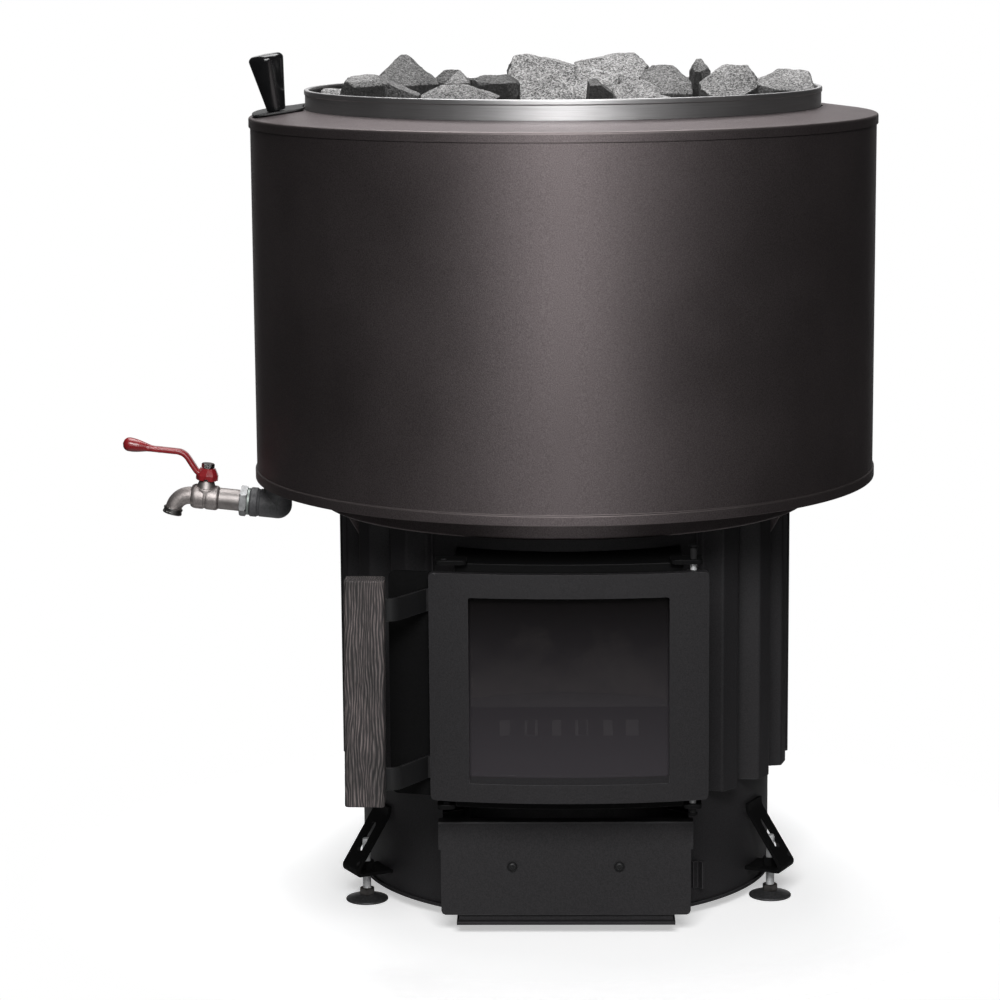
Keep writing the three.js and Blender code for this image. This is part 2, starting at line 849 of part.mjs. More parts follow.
function flueCollar() {
  const start = bodyRadius - flueInset;
  const end = bodyRadius + flueReach;
  const pipe = bar(flueRadius, at(0, start, flueHeight), at(0, end, flueHeight), flueSegments);
  const bore = bar(
    flueRadius - flueWall,
    at(0, start - overrun, flueHeight),
    at(0, end + overrun, flueHeight),
    flueSegments,
  );
  const saddle = tube(
    bodyRadius + seat + flueFlangeSheet,
    bodyRadius + seat,
    flueHeight - flueFlangeRadius - overrun,
    flueHeight + flueFlangeRadius + overrun,
  ).intersect(bar(flueFlangeRadius, at(0, 0, flueHeight), at(0, end, flueHeight), flueSegments));
  return cut(join(pipe, saddle), bore);
}

// Door leaf with hinge barrels and the bevelled window
const leafLeft = doorCentre - doorWidth / 2;
const leafRight = doorCentre + doorWidth / 2;
const paneLeft = doorCentre - paneWidth / 2;
const paneRight = doorCentre + paneWidth / 2;
const paneBottom = doorUnderside + paneRise;
const paneTop = paneBottom + paneHeight;

function doorLeaf() {
  const outline = roundedRectangle(leafLeft, leafRight, doorUnderside, doorTop, doorCorner);
  const window = slab(
    roundedRectangle(paneLeft, paneRight, paneBottom, paneTop, paneCorner),
    -doorReach - overrun,
    -bodyRadius,
  );
  const bevelFront = -doorReach;
  const bevelBack = bevelFront + doorSheet;
  const bevelShape = flat([
    [bevelFront - overrun, paneBottom - paneBevel],
    [bevelFront, paneBottom - paneBevel],
    [bevelBack, paneBottom],
    [bevelBack, paneTop],
    [bevelFront - overrun, paneTop],
  ]);
  const bevel = turned(slab(bevelShape, paneLeft, paneRight), upright, Math.PI / 2);
  const barrels = [doorUnderside, doorTop - barrelHeight].map((bottom) =>
    upBar(barrelRadius, pinX, pinY, bottom, bottom + barrelHeight),
  );
  const bore = upBar(pinRadius + pinClearance, pinX, pinY, doorUnderside - overrun, doorTop + overrun);
  const plate = cut(bowedPlate(outline, doorBow, leafBack), window, mirrored(bevel));
  return cut(join(plate, ...barrels), bore);
}

// Swaps left and right about the door's middle, after a prism along Y was turned to run along X.
function mirrored(solid) {
  const geometry = toGeometry(solid);
  geometry.applyMatrix4(new THREE.Matrix4().makeRotationAxis(upright, Math.PI));
  return toSolid(geometry);
}

const doorZone = (halfWidth, bottom, top) => [doorCentre - halfWidth, doorCentre + halfWidth, bottom, top];
const paneZone = (reach) => doorZone(paneWidth / 2 + reach, paneBottom - reach, paneTop + reach);

function frameShape(outer, inner, corner) {
  const shape = roundedRectangle(...outer, corner);
  shape.holes.push(roundedRectangle(...inner, corner));
  return shape;
}

function doorGlass() {
  const shape = roundedRectangle(...paneZone(glassLap), paneCorner);
  return bowedPlate(shape, leafBack - seat, leafBack - seat - glassThickness);
}

function glassRetainer() {
  const outer = leafBack - glassThickness - 2 * seat;
  const shape = frameShape(paneZone(retainerReach), paneZone(0), paneCorner);
  return bowedPlate(shape, outer, outer - retainerSheet);
}

function doorGasket() {
  const half = paneWidth / 2 + gasketReach;
  const bottom = doorUnderside + gasketEndInset;
  const top = doorTop - gasketEndInset;
  const shape = frameShape(
    doorZone(half, bottom, top),
    doorZone(half - gasketWidth, bottom + gasketWidth, top - gasketWidth),
    paneCorner,
  );
  return bowedPlate(shape, leafBack - seat, leafBack - seat - gasketThickness);
}

function hingePinTop() {
  const bottom = doorTop - barrelHeight;
  const top = frameTop + topPinRise;
  return join(
    upBar(pinRadius, pinX, pinY, bottom, top),
    upBar(pinHeadRadius, pinX, pinY, top, top + pinHeadHeight),
  );
}

function hingePinBottom() {
  const bottom = frameBottom - bottomPinDrop;
  return join(
    upBar(pinRadius, pinX, pinY, bottom, doorUnderside + barrelHeight),
    upBar(pinHeadRadius, pinX, pinY, bottom - pinHeadHeight, bottom),
  );
}

// Bent strap between the leaf's back and the handle bar
function handleStrap(bottom) {
  const top = bottom + strapHeight;
  const tailY = bowAxis - Math.sqrt((leafBack - seat) ** 2 - (strapEdge + doorCentre - strapSheet) ** 2);
  const path = [
    [-strapBend - strapOverlap, -strapFront],
    [-strapBend, -strapFront],
    [-strapEdge - strapSheet, tailY],
    [-strapEdge + strapSheet, tailY],
  ];
  const strap = column(flat([...path, ...offsetPath(path, strapSheet).reverse()]), bottom, top);
  const tail = bowedPlate(
    flat([
      [-strapEdge, bottom],
      [-strapEdge + strapTail, bottom],
      [-strapEdge + strapTail, top],
      [-strapEdge, top],
    ]),
    leafBack - seat,
    leafBack - seat - strapSheet,
  );
  const leafFace = bowedBand(doorBow, leafBack - seat, bottom - overrun, top + overrun);
  return cut(join(strap, tail), leafFace.intersect(slabOver(leafLeft - seat, leafRight)));
}

const slabOver = (left, right) =>
  block([left, right], [-doorReach - overrun, -bodyRadius], [floorClearance, tankUnderside]);

function handleBar() {
  const back = -strapFront - seat;
  const outline = roundedRectangle(
    -barCentre - barWidth / 2,
    -barCentre + barWidth / 2,
    back - barDepth,
    back,
    barCorner,
  );
  return column(outline, barUnderside, barUnderside + barHeight);
}

// A thin plate that keeps the ribs' heat off the hand
function handleShield() {
  const outer = leafBack - strapSheet - 2 * seat;
  const bottom = doorUnderside + shieldInset;
  const top = doorTop - shieldInset;
  const edge = -strapEdge;
  const tailY = bowAxis - Math.sqrt(outer ** 2 - (edge - doorCentre) ** 2);
  const path = [
    [-shieldOuter, -doorReach + shieldSetback],
    [edge - shieldSheet, tailY],
    [edge + shieldSheet, tailY],
  ];
  const wing = column(flat([...path, ...offsetPath(path, shieldSheet).reverse()]), bottom, top);
  const outline = roundedRectangle(-shieldOuter, leafRight, bottom, top, shieldCorner);
  const tail = bowedPlate(
    flat([
      [edge, bottom],
      [edge + shieldTail, bottom],
      [edge + shieldTail, top],
      [edge, top],
    ]),
    outer,
    outer - shieldSheet,
  );
  return join(wing.intersect(slab(outline, -doorReach, -bodyRadius)), tail);
}

// Ash drawer: tray, front and its two screws
function drawerTray() {
  const front = -drawerFrontReach + drawerFrontSheet + seat;
  const bottom = baseTop + seat;
  const half = trayWidth / 2;
  const outside = block([-half, half], [front, trayPastAxis], [bottom, bottom + trayHeight]);
  const inside = block(
    [-half + traySheet, half - traySheet],
    [front + traySheet, trayPastAxis - traySheet],
    [bottom + traySheet, bottom + trayHeight + overrun],
  );
  return cut(outside, inside, ...drawerScrewHoles());
}

const screwSides = [-1, 1];
const drawerScrewHoles = () =>
  screwSides.map((side) =>
    bar(
      screwRadius + screwClearance,
      at((side * drawerScrewSpacing) / 2, -drawerFrontReach - overrun, drawerScrewHeight),
      at((side * drawerScrewSpacing) / 2, -drawerFrontReach + screwLength, drawerScrewHeight),
    ),
  );

function drawerFront() {
  const wide = drawerFrontWidth / 2;
  const narrow = ashMouthWidth / 2;
  const top = drawerFrontUnderside + drawerFrontHeight;
  const step = top - drawerWideHeight;
  const face = flat([
    [-narrow, drawerFrontUnderside],
    [narrow, drawerFrontUnderside],
    [narrow, step],
    [wide, step],
    [wide, top],
    [-wide, top],
    [-wide, step],
    [-narrow, step],
  ]);
  const plate = slab(face, -drawerFrontReach, -drawerFrontReach + drawerFrontSheet);
  const fold = block(
    [-wide, wide],
    [-drawerFrontReach, -drawerFrontReach + drawerFold],
    [top - drawerFoldSheet, top],
  );
  return cut(join(plate, fold), ...drawerScrewHoles());
}

function drawerScrew(side) {
  const x = (side * drawerScrewSpacing) / 2;
  const face = -drawerFrontReach - seat;
  const shank = bar(screwRadius, at(x, face - screwHeadHeight / 2, drawerScrewHeight), at(x, face + screwLength, drawerScrewHeight));
  const head = bar(
    screwHeadRadius,
    at(x, face, drawerScrewHeight),
    at(x, face - screwHeadHeight, drawerScrewHeight),
    smallSegments,
    screwRadius + socketAcross / 2 - seat,
  );
  const key = turned(hexagon(socketAcross, screwHeadHeight - socketDepth, screwHeadHeight + overrun), across, Math.PI / 2);
  return cut(join(shank, head), moved(key, x, face, drawerScrewHeight));
}

// Foot bracket: a bent strip on the drum, drawn with X as the distance from the stove's axis and
// then turned to its azimuth, so the drum's facets are turned back for the cut
function footBracket(azimuth) {
  const wall = bodyRadius + seat;
  const shelfTop = bracketShelf + bracketSheet;
  const knee = wall + bracketReach;
  const outline = flat([
    [wall - overrun, bracketShelf],
    [knee, bracketShelf],
    [knee + bracketSheet, bracketKnee],
    [wall + bracketSheet, bracketTop - bracketTab],
    [wall + bracketSheet, bracketTop],
    [wall - overrun, bracketTop],
  ]);
  const hollow = flat([
    [wall - 2 * overrun, shelfTop],
    [knee - bracketSheet, shelfTop],
    [knee - bracketSheet, bracketKnee],
    [wall, bracketTop - bracketTab - bracketSheet],
    [wall - 2 * overrun, bracketTop - bracketTab - bracketSheet],
  ]);
  const half = bracketWidth / 2;
  const strip = cut(slab(outline, -half, half), slab(hollow, -half - overrun, half + overrun));
  const rodAt = bodyRadius + footSetback;
  const slot = block(
    [rodAt - bracketReach, knee + overrun],
    [-bracketSlotWidth / 2, bracketSlotWidth / 2],
    [bracketSlotBottom, bracketSlotTop],
  );
  const nut = moved(hexagon(weldNutAcross, shelfTop - bracketSheet, shelfTop + weldNutHeight), rodAt, 0, 0);
  const thread = upBar(footRodRadius + footThreadClearance, rodAt, 0, bracketShelf - overrun, bracketTop);
  const drum = turned(disc(wall, 0, bracketTop + overrun), upright, (90 - azimuth) * degree);
  return cut(join(cut(strip, slot), nut), thread, drum);
}

// Foot: disc, hexagon and threaded rod in one piece
function screwFoot() {
  const rodAt = bodyRadius + footSetback;
  const hexBottom = footDiscEdge + footConeHeight;
  const pad = revolve(
    [
      [0, 0],
      [footDiscRadius, 0],
      [footDiscRadius, footDiscEdge],
      [footConeRadius, hexBottom],
      [0, hexBottom],
    ],
    smallSegments,
  );
  const hex = hexagon(footHexAcross, hexBottom - footDiscEdge, hexBottom + footHexHeight);
  const rod = upBar(footRodRadius, 0, 0, hexBottom, footRodTop);
  return moved(join(pad, hex, rod), rodAt, 0, 0);
}

// Filler lid: a sector of the cone above the cover, with its hinge at the far end
function sectorPlate(inner, outer, lift, thickness, from, to) {
  const low = (radius) => coverAt(radius) + lift;
  const ring = revolve([
    [inner, low(inner)],
    [outer, low(outer)],
    [outer, low(outer) + thickness],
    [inner, low(inner) + thickness],
  ]);
  return ring.intersect(wedge(from, to, 2 * bodyRadius, 0, rimTop + coverRise));
}

// A point on the hinge line, whose X runs down the cover's slope at the hinge's azimuth
const hingeMiddle = (fillerInnerRadius + fillerOuterRadius) / 2;
const hingeLift = knuckleRadius + seat;

function hingeBar(radius, from, to, segments) {
  const place = (along) => {
    const reach = hingeMiddle + along * Math.cos(coverTilt) + hingeLift * Math.sin(coverTilt);
    const height = coverAt(hingeMiddle) - along * Math.sin(coverTilt) + hingeLift * Math.cos(coverTilt);
    const [x, y] = polar(reach, -lidHingeAzimuth);
    return at(x, y, height);
  };
  return bar(radius, place(from), place(to), segments);
}

function coverKnuckles() {
  const near = knuckleLength / 2 + seat;
  const far = near + knuckleLength;
  const bore = hingeBar(lidPinRadius + lidPinClearance, -far - overrun, far + overrun);
  return [-1, 1].map((side) => {
    const [from, to] = side < 0 ? [-far, -near] : [near, far];
    const half = (knuckleRadius / hingeMiddle / degree) * (2 / 3);
    const foot = sectorPlate(
      hingeMiddle + (from + knuckleFootInset) * Math.cos(coverTilt),
      hingeMiddle + (to - knuckleFootInset) * Math.cos(coverTilt),
      -coverSheet / 2,
      coverSheet / 2 + hingeLift,
      -lidHingeAzimuth - half,
      -lidHingeAzimuth + half,
    );
    return cut(join(hingeBar(knuckleRadius, from, to), foot), bore);
  });
}

function fillerLid() {
  const plate = sectorPlate(
    lidInnerRadius,
    lidOuterRadius,
    lidGap,
    lidSheet,
    -lidHingeAzimuth + lidRearAngle,
    -lidFrontAzimuth,
  );
  const half = knuckleLength / 2;
  const knuckle = hingeBar(knuckleRadius, -half, half);
  const bore = hingeBar(lidPinRadius + lidPinClearance, -half - overrun, half + overrun);
  const arm = sectorPlate(
    hingeMiddle - (half - knuckleFootInset) * Math.cos(coverTilt),
    hingeMiddle + (half - knuckleFootInset) * Math.cos(coverTilt),
    lidGap,
    knuckleRadius,
    -lidHingeAzimuth,
    -lidHingeAzimuth + 2 * lidRearAngle,
  );
  const clearInner = hingeBar(knuckleRadius + 2 * seat, -half - 2 * knuckleLength, -half);
  const clearOuter = hingeBar(knuckleRadius + 2 * seat, half, half + 2 * knuckleLength);
  const [x, y] = polar(knobRadius, -knobAzimuth);
  const surface = coverAt(knobRadius) + lidGap;
  const stud = upBar(knobStudRadius + 2 * seat, x, y, surface - overrun, surface + lidSheet + overrun);
  return cut(join(plate, arm, knuckle), bore, clearInner, clearOuter, stud);
}

function lidHingePin() {
  const reach = knuckleLength * 1.5 + seat + lidPinOverhang;
  return hingeBar(lidPinRadius, -reach, reach);
}

// Knob on the lid, drawn upright and then leant with the cover's slope
function lidKnob() {
  const dome = new THREE.QuadraticBezierCurve(
    new THREE.Vector2(knobTopRadius, knobHeight - knobDome),
    new THREE.Vector2(knobTopRadius - knobDome, knobHeight),
    new THREE.Vector2(0, knobHeight),
  );
  const crown = dome.getPoints(5).map((point) => [Math.max(0, point.x), point.y]);
  return revolve(
    [
      [0, -knobStudLength],
      [knobStudRadius, -knobStudLength],
      [knobStudRadius, 0],
      [knobBaseRadius, 0],
      ...crown,
    ],
    smallSegments,
  );
}

// Tap, drawn with its pipe along -X from the elbow's centre
const cuffStart = elbowArm;
const cuffEnd = cuffStart + elbowCuffLength;
const nutStart = cuffEnd + seat;
const nutEnd = nutStart + unionNutLength;
const pipeStart = nutEnd + seat;
const bodyStart = pipeStart + tapPipeLength;
const bodyMiddle = bodyStart + tapBodyLength / 2;
const bodyEnd = bodyStart + tapBodyLength;

const pipeBar = (radius, from, to, segments = tapSegments, endRadius = radius) =>
  bar(radius, at(-from, 0, 0), at(-to, 0, 0), segments, endRadius);

function ball(radius, x, z) {
  return toSolid(new THREE.SphereGeometry(radius, ballSegments, ballSegments / 2).translate(x, 0, z));
}

function tapElbow() {
  const rise = tapDrop + spigotRise;
  const up = new THREE.Vector3(0, 0, rise).applyAxisAngle(depthwise, -tapTilt * degree);
  const shoulder = up.clone().multiplyScalar((tapDrop - 2 * seat) / rise);
  const beyond = up.clone().multiplyScalar(2);
  const centre = at(0, 0, 0);
  const outside = join(
    pipeBar(elbowRadius, 0, cuffStart + seat),
    pipeBar(elbowCuffRadius, cuffStart, cuffEnd),
    ball(elbowRadius, 0, 0),
    bar(elbowRadius, centre, shoulder),
    bar(spigotRadius, centre, up),
  );
  return cut(outside, pipeBar(elbowBore, 0, cuffEnd + overrun), ball(elbowBore, 0, 0), bar(elbowBore, centre, beyond));
}

function unionNut() {
  const hex = turned(hexagon(unionNutAcross, nutStart, nutEnd), depthwise, -Math.PI / 2);
  return cut(hex, pipeBar(elbowBore, nutStart - overrun, nutEnd + overrun));
}

// Valve body with its bent spout, neck and the ball's chamber
function tapBody() {
  const groove = cut(
    pipeBar(tapBodyRadius + overrun, bodyMiddle - tapBodyGroove, bodyMiddle + tapBodyGroove),
    pipeBar(tapBodyRadius - tapBodyGroove, bodyMiddle - overrun, bodyMiddle + overrun),
  );
  const chamfer = tapBodyRadius - tapPipeRadius;
  const barrel = join(
    pipeBar(tapPipeRadius, bodyStart, bodyStart + chamfer, tapSegments, tapBodyRadius),
    pipeBar(tapBodyRadius, bodyStart + chamfer, bodyEnd - chamfer),
    pipeBar(tapBodyRadius, bodyEnd - chamfer, bodyEnd, tapSegments, spoutRadius),
  );
  const neck = join(
    bar(neckFootRadius, at(-bodyMiddle, 0, 0), at(-bodyMiddle, 0, neckFoot)),
    bar(neckFootRadius, at(-bodyMiddle, 0, neckFoot), at(-bodyMiddle, 0, neckTop), smallSegments, neckRadius),
  );
  const stem = bar(stemRadius + stemClearance, at(-bodyMiddle, 0, 0), at(-bodyMiddle, 0, neckTop + overrun));
  const chamber = ball(tapBallRadius + tapBallClearance, -bodyMiddle, 0);
  const outside = join(
    cut(barrel, groove),
    pipeBar(tapPipeRadius, pipeStart, bodyStart + seat),
    pipeBar(spoutRadius, bodyEnd - seat, bodyEnd + seat),
    bentPipe(spoutRadius),
    spoutLip(spoutLipRadius, -seat, spoutLipLength),
    neck,
  );
  return cut(
    outside,
    pipeBar(tapBore, pipeStart - overrun, bodyEnd + seat),
    bentPipe(tapBore),
    spoutLip(tapBore, -1, spoutLipLength + overrun),
    chamber,
    stem,
  );
}

// A pipe bent from the body's end towards the ground
function bentPipe(radius) {
  const steps = 5;
  const section = Array.from({ length: tapSegments }, (_, i) => polar(radius, (360 * i) / tapSegments));
  const bend = new THREE.CurvePath();
  bend.getPoint = (t) => {
    const angle = spoutTurn * degree * t;
    return at(-bodyEnd - spoutBend * Math.sin(angle), 0, -spoutBend * (1 - Math.cos(angle)));
  };
  bend.getPointAt = bend.getPoint;
  bend.getTangent = (t) => {
    const angle = spoutTurn * degree * t;
    return at(-Math.cos(angle), 0, -Math.sin(angle));
  };
  bend.getTangentAt = bend.getTangent;
  return toSolid(new THREE.ExtrudeGeometry(flat(section), { steps, extrudePath: bend, bevelEnabled: false }));
}

function spoutLip(radius, from, to) {
  const angle = spoutTurn * degree;
  const mouth = at(-bodyEnd - spoutBend * Math.sin(angle), 0, -spoutBend * (1 - Math.cos(angle)));
  const way = at(-Math.cos(angle), 0, -Math.sin(angle));
  const place = (along) => mouth.clone().addScaledVector(way, along);
  return bar(radius, place(from), place(to));
}

// Ball with its bore and the stem up to the lever
function tapBall() {
  const bore = pipeBar(tapBore, bodyMiddle - 2 * tapBallRadius, bodyMiddle + 2 * tapBallRadius);
  const foot = at(-bodyMiddle, 0, tapBallRadius - tapBallLap);
  return join(cut(ball(tapBallRadius, -bodyMiddle, 0), bore), bar(stemRadius, foot, at(-bodyMiddle, 0, stemTop)));
}

function tapLever() {
  const hubBottom = neckTop + seat;
  const hubTop = hubBottom + hubHeight;
  const x = -bodyMiddle;
  const hub = bar(hubRadius, at(x, 0, hubBottom), at(x, 0, hubTop), smallSegments, hubRadius - seat);
  const low = hubBottom + (hubHeight - leverSheet) / 2;
  const high = hubBottom + leverRise;
  const path = [
    [x, low],
    [x - hubRadius + leverSheet / 2, low],
    [x - hubRadius - leverRun, high],
    [x - leverReach, high],
  ];
  const arm = slab(
    flat([...path, ...offsetPath(path, -leverSheet).reverse()]),
    -leverWidth / 2,
    leverWidth / 2,
  );
  const axis = high + leverSheet / 2;
  const grip = join(
    bar(
      leverSheet / 2,
      at(x - leverReach + leverEndLength, 0, axis),
      at(x - leverReach, 0, axis + leverEndLift),
      smallSegments,
      leverEndRadius,
    ),
    ball(leverEndRadius, x - leverReach, axis + leverEndLift),
  );
  const bore = bar(stemRadius + stemClearance, at(x, 0, 0), at(x, 0, hubTop + overrun));
  return cut(join(hub, arm, grip), bore);
}

function tapLeverNut() {
  const bottom = neckTop + hubHeight + 2 * seat;
  const nut = moved(hexagon(leverNutAcross, bottom, bottom + leverNutHeight), -bodyMiddle, 0, 0);
  const recess = bar(stemRadius + stemClearance, at(-bodyMiddle, 0, 0), at(-bodyMiddle, 0, stemTop + seat));
  return cut(nut, recess);
}

// Stones: the hull of points spread over a ball with some disorder, fitted to the stone's own box.
// The same seed gives the same stone.
const randomFactor = 16807;
const randomModulus = 2147483647;
const goldenTurn = 137.508;
const hullPoints = 17;
const hullDisorder = 0.5;

function randomFrom(seed) {
  let state = seed;
  return () => {
    state = (state * randomFactor) % randomModulus;
    return state / randomModulus - 1 / 2;
  };
}

function stone(seed, centre, size, growth = 0, count = hullPoints) {
  const random = randomFrom(seed);
  const points = Array.from({ length: count }, (_, i) => {
    const height = 1 - (2 * (i + 1 / 2)) / count;
    const level = Math.sqrt(1 - height * height);
    const [x, y] = polar(level, goldenTurn * i);
    const jitter = at(random(), random(), random()).multiplyScalar(hullDisorder);
    return at(x, y, height).add(jitter).normalize();
  });
  const geometry = new ConvexGeometry(points);
  geometry.computeBoundingBox();
  const box = geometry.boundingBox;
  const middle = box.getCenter(new THREE.Vector3());
  const extent = box.getSize(new THREE.Vector3());
  geometry.translate(-middle.x, -middle.y, -middle.z);
  geometry.scale(...size.map((length, k) => (length + 2 * growth) / extent.getComponent(k)));
  return toSolid(geometry.translate(...centre));
}

// Shares: the place across and in depth, of the pot's inside radius; the three sizes, of a stone's
// length; and how far the top stands above the rim, of a stone's length
const stoneShares = [
  { x: -0.705, y: -0.295, size: [0.92, 0.75, 0.62], top: 0.19 },
  { x: -0.612, y: 0.06, size: [0.75, 0.75, 0.75], top: 0.375 },
  { x: -0.445, y: 0.27, size: [0.45, 0.5, 0.5], top: 0.175 },
  { x: -0.387, y: -0.63, size: [0.9, 0.55, 0.5], top: 0.11 },
  { x: -0.258, y: -0.25, size: [0.56, 0.6, 0.55], top: 0.175 },
  { x: 0, y: -0.09, size: [1.34, 0.95, 0.75], top: 0.39 },
  { x: 0.2, y: 0.41, size: [0.94, 0.8, 0.7], top: 0.34 },
  { x: 0.147, y: -0.62, size: [0.36, 0.5, 0.5], top: 0.17 },
  { x: 0.275, y: -0.68, size: [0.56, 0.5, 0.45], top: 0.16 },
  { x: 0.402, y: -0.1, size: [0.62, 0.7, 0.62], top: 0.25 },
  { x: 0.64, y: -0.26, size: [0.68, 0.7, 0.62], top: 0.275 },
  { x: 0.865, y: -0.14, size: [0.78, 0.7, 0.55], top: 0.2 },
];
const stoneSeed = 41;
const stoneSeedStep = 97;
const potInside = potRadius - potWall;

function stonePlace({ x, y, size, top }) {
  const lengths = size.map((share) => share * stoneLength);
  const centre = [x * potInside, y * potInside, rimTop + top * stoneLength - lengths[2] / 2];
  return { centre, lengths };
}

// Shares: a ring's radius, of the pot's inside radius; the three sizes of its stones, of a stone's
// length; and how much a stone's size and top vary
const heapRingShares = [
  { reach: 0, count: 1, turn: 0 },
  { reach: 0.27, count: 6, turn: 20 },
  { reach: 0.54, count: 10, turn: 8 },
  { reach: 0.82, count: 15, turn: 4 },
];
const heapStoneShares = [1, 0.8, 0.7];
const heapSizeShare = 0.36;
const heapTopShare = 0.55;
const heapPoints = 9;
const heapSeed = 7;

// The lower stones are one heap: a bed, and rings of stones that stand out of it.
function heapStones() {
  const random = randomFrom(heapSeed);
  const stones = [];
  for (const { reach, count, turn } of heapRingShares) {
    for (let i = 0; i < count; i++) {
      const azimuth = turn + (360 * i) / count;
      const lengths = heapStoneShares.map((share) => share * stoneLength * (1 + heapSizeShare * random()));
      const top = rimTop - heapDrop * heapTopShare * (random() + 1 / 2);
      const lying = turned(stone(heapSeed + stones.length, [0, 0, 0], lengths, 0, heapPoints), upright, Math.PI * random());
      stones.push(moved(lying, ...polar(reach * potInside, azimuth), top - lengths[2] / 2));
    }
  }
  return stones;
}

function stoneHeap(upper, wall) {
  const reach = potInside - heapInset;
  const bottom = potFloorHeight + potFloorThickness + seat;
  const bed = disc(reach, bottom, heapLow, heapSegments);
  return cut(join(bed, ...heapStones()), wall, ...upper);
}

function addStones() {
  const wall = tube(2 * jacketRadius, potInside - heapInset, 0, rimTop + stoneLength);
  const grown = [];
  stoneShares.forEach((shares, i) => {
    const { centre, lengths } = stonePlace(shares);
    const seed = stoneSeed + i * stoneSeedStep;
    const body = cut(stone(seed, centre, lengths), wall, ...grown);
    piece("stone_" + String(i + 1).padStart(2, "0"), body, granite);
    grown.push(stone(seed, centre, lengths, stoneClearance));
  });
  piece("stone_heap", stoneHeap(grown, wall), granite);
}

// Assembly
piece("base_plate", basePlate(), blackSteel);
piece("body_shell", bodyShell(), blackSteel);
piece("front_frame", frontFrame(), blackSteel);
piece("fire_floor", fireFloor(), castIron);
piece("grate", grate(), castIron);
piece("rear_lining", rearLining(), lining);
piece("ember_guard", emberGuard(), castIron);
piece("rib_panel_left", ribPanel(-1), blackSteel);
piece("rib_panel_right", ribPanel(1), blackSteel);
piece("support_collar", supportCollar(), bronzeCoat);
piece("tank_floor", tankFloor(), bronzeCoat);
piece("tank_jacket", jacket(), bronzeCoat);
piece("top_cover", topCover(), bronzeCoat);
piece("tank_inner_wall", tankInnerWall(), stainless);
piece("stone_pot", stonePot(), blackSteel);
piece("pot_floor", potFloor(), castIron);
piece("stone_rim", stoneRim(), stainless);
piece("flue_collar", flueCollar(), blackSteel);

piece("door_leaf", doorLeaf(), blackSteel);
piece("door_glass", doorGlass(), darkGlass);
piece("glass_retainer", glassRetainer(), blackSteel);
piece("door_gasket", doorGasket(), rope);
piece("hinge_pin_top", hingePinTop(), zinc);
piece("hinge_pin_bottom", hingePinBottom(), zinc);
piece("handle_strap_top", handleStrap(doorTop - strapTopDrop), blackSteel);
piece("handle_strap_bottom", handleStrap(doorUnderside + strapBottomRise), blackSteel);
piece("handle_bar", handleBar(), darkAsh);
piece("handle_shield", handleShield(), blackSteel);

piece("drawer_tray", drawerTray(), blackSteel);
piece("drawer_front", drawerFront(), blackSteel);
piece("drawer_screw_left", drawerScrew(-1), blackSteel);
piece("drawer_screw_right", drawerScrew(1), blackSteel);

for (const [name, azimuth] of Object.entries(footAzimuths)) {
  const corner = new THREE.Group();
  corner.rotation.z = (azimuth - 90) * degree;
  piece("foot_bracket_" + name, footBracket(azimuth), blackSteel, corner);
  piece("foot_" + name, screwFoot(), zinc, corner);
  stove.add(corner);
}

piece("filler_lid", fillerLid(), blackSteel);
piece("lid_hinge_pin", lidHingePin(), zinc);
const knobStand = new THREE.Group();
const knobPlace = polar(knobRadius, -knobAzimuth);
knobStand.position.set(...knobPlace, coverAt(knobRadius) + lidGap + lidSheet + 2 * seat);
knobStand.rotation.order = "ZYX";
knobStand.rotation.z = (-knobAzimuth - 90) * degree;
knobStand.rotation.y = knobLean * degree;
piece("lid_knob", lidKnob(), blackKnob, knobStand);
stove.add(knobStand);

const tap = new THREE.Group();
tap.position.set(-tapSetback, 0, tapHeight);
tap.rotation.y = tapTilt * degree;
piece("tap_elbow", tapElbow(), greyPlastic, tap);
piece("tap_union_nut", unionNut(), zinc, tap);
piece("tap_body", tapBody(), nickel, tap);
piece("tap_ball", tapBall(), nickel, tap);
piece("tap_lever", tapLever(), redPaint, tap);
piece("tap_lever_nut", tapLeverNut(), nickel, tap);
stove.add(tap);

addStones();

export default stove;
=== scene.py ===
from math import asin, atan, copysign, cos, degrees, hypot, pi, radians, sin, sqrt

import bmesh
import bpy
from mathutils import Matrix, Vector, noise

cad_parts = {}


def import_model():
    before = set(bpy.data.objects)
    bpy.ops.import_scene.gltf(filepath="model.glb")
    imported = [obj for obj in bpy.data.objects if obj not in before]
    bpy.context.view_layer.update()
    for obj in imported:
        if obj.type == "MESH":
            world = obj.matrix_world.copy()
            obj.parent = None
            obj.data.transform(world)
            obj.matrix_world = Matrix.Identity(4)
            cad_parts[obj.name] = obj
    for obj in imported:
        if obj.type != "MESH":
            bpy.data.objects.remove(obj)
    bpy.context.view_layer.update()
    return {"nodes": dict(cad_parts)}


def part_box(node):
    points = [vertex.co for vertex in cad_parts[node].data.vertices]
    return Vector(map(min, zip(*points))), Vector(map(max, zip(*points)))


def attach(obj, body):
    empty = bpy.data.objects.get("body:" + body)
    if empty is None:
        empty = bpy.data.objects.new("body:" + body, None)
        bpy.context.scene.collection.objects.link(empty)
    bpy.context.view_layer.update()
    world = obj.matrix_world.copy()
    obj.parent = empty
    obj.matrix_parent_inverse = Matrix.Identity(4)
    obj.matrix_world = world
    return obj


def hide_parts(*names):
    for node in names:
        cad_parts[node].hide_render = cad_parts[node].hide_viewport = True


# Looks of the sauna stove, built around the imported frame. Lengths are in millimetres and angles in
# degrees up to the point where a mesh is made. An azimuth counts from the front (-Y) towards +X.
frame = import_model()

MM = 0.001
RING = 240
FINE_RING = 300
SMALL_RING = 48
PIPE_RING = 64
DISC_RING = 96
FLUE_RING = 120


def corners(node):
    low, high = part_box(node)
    return low / MM, high / MM


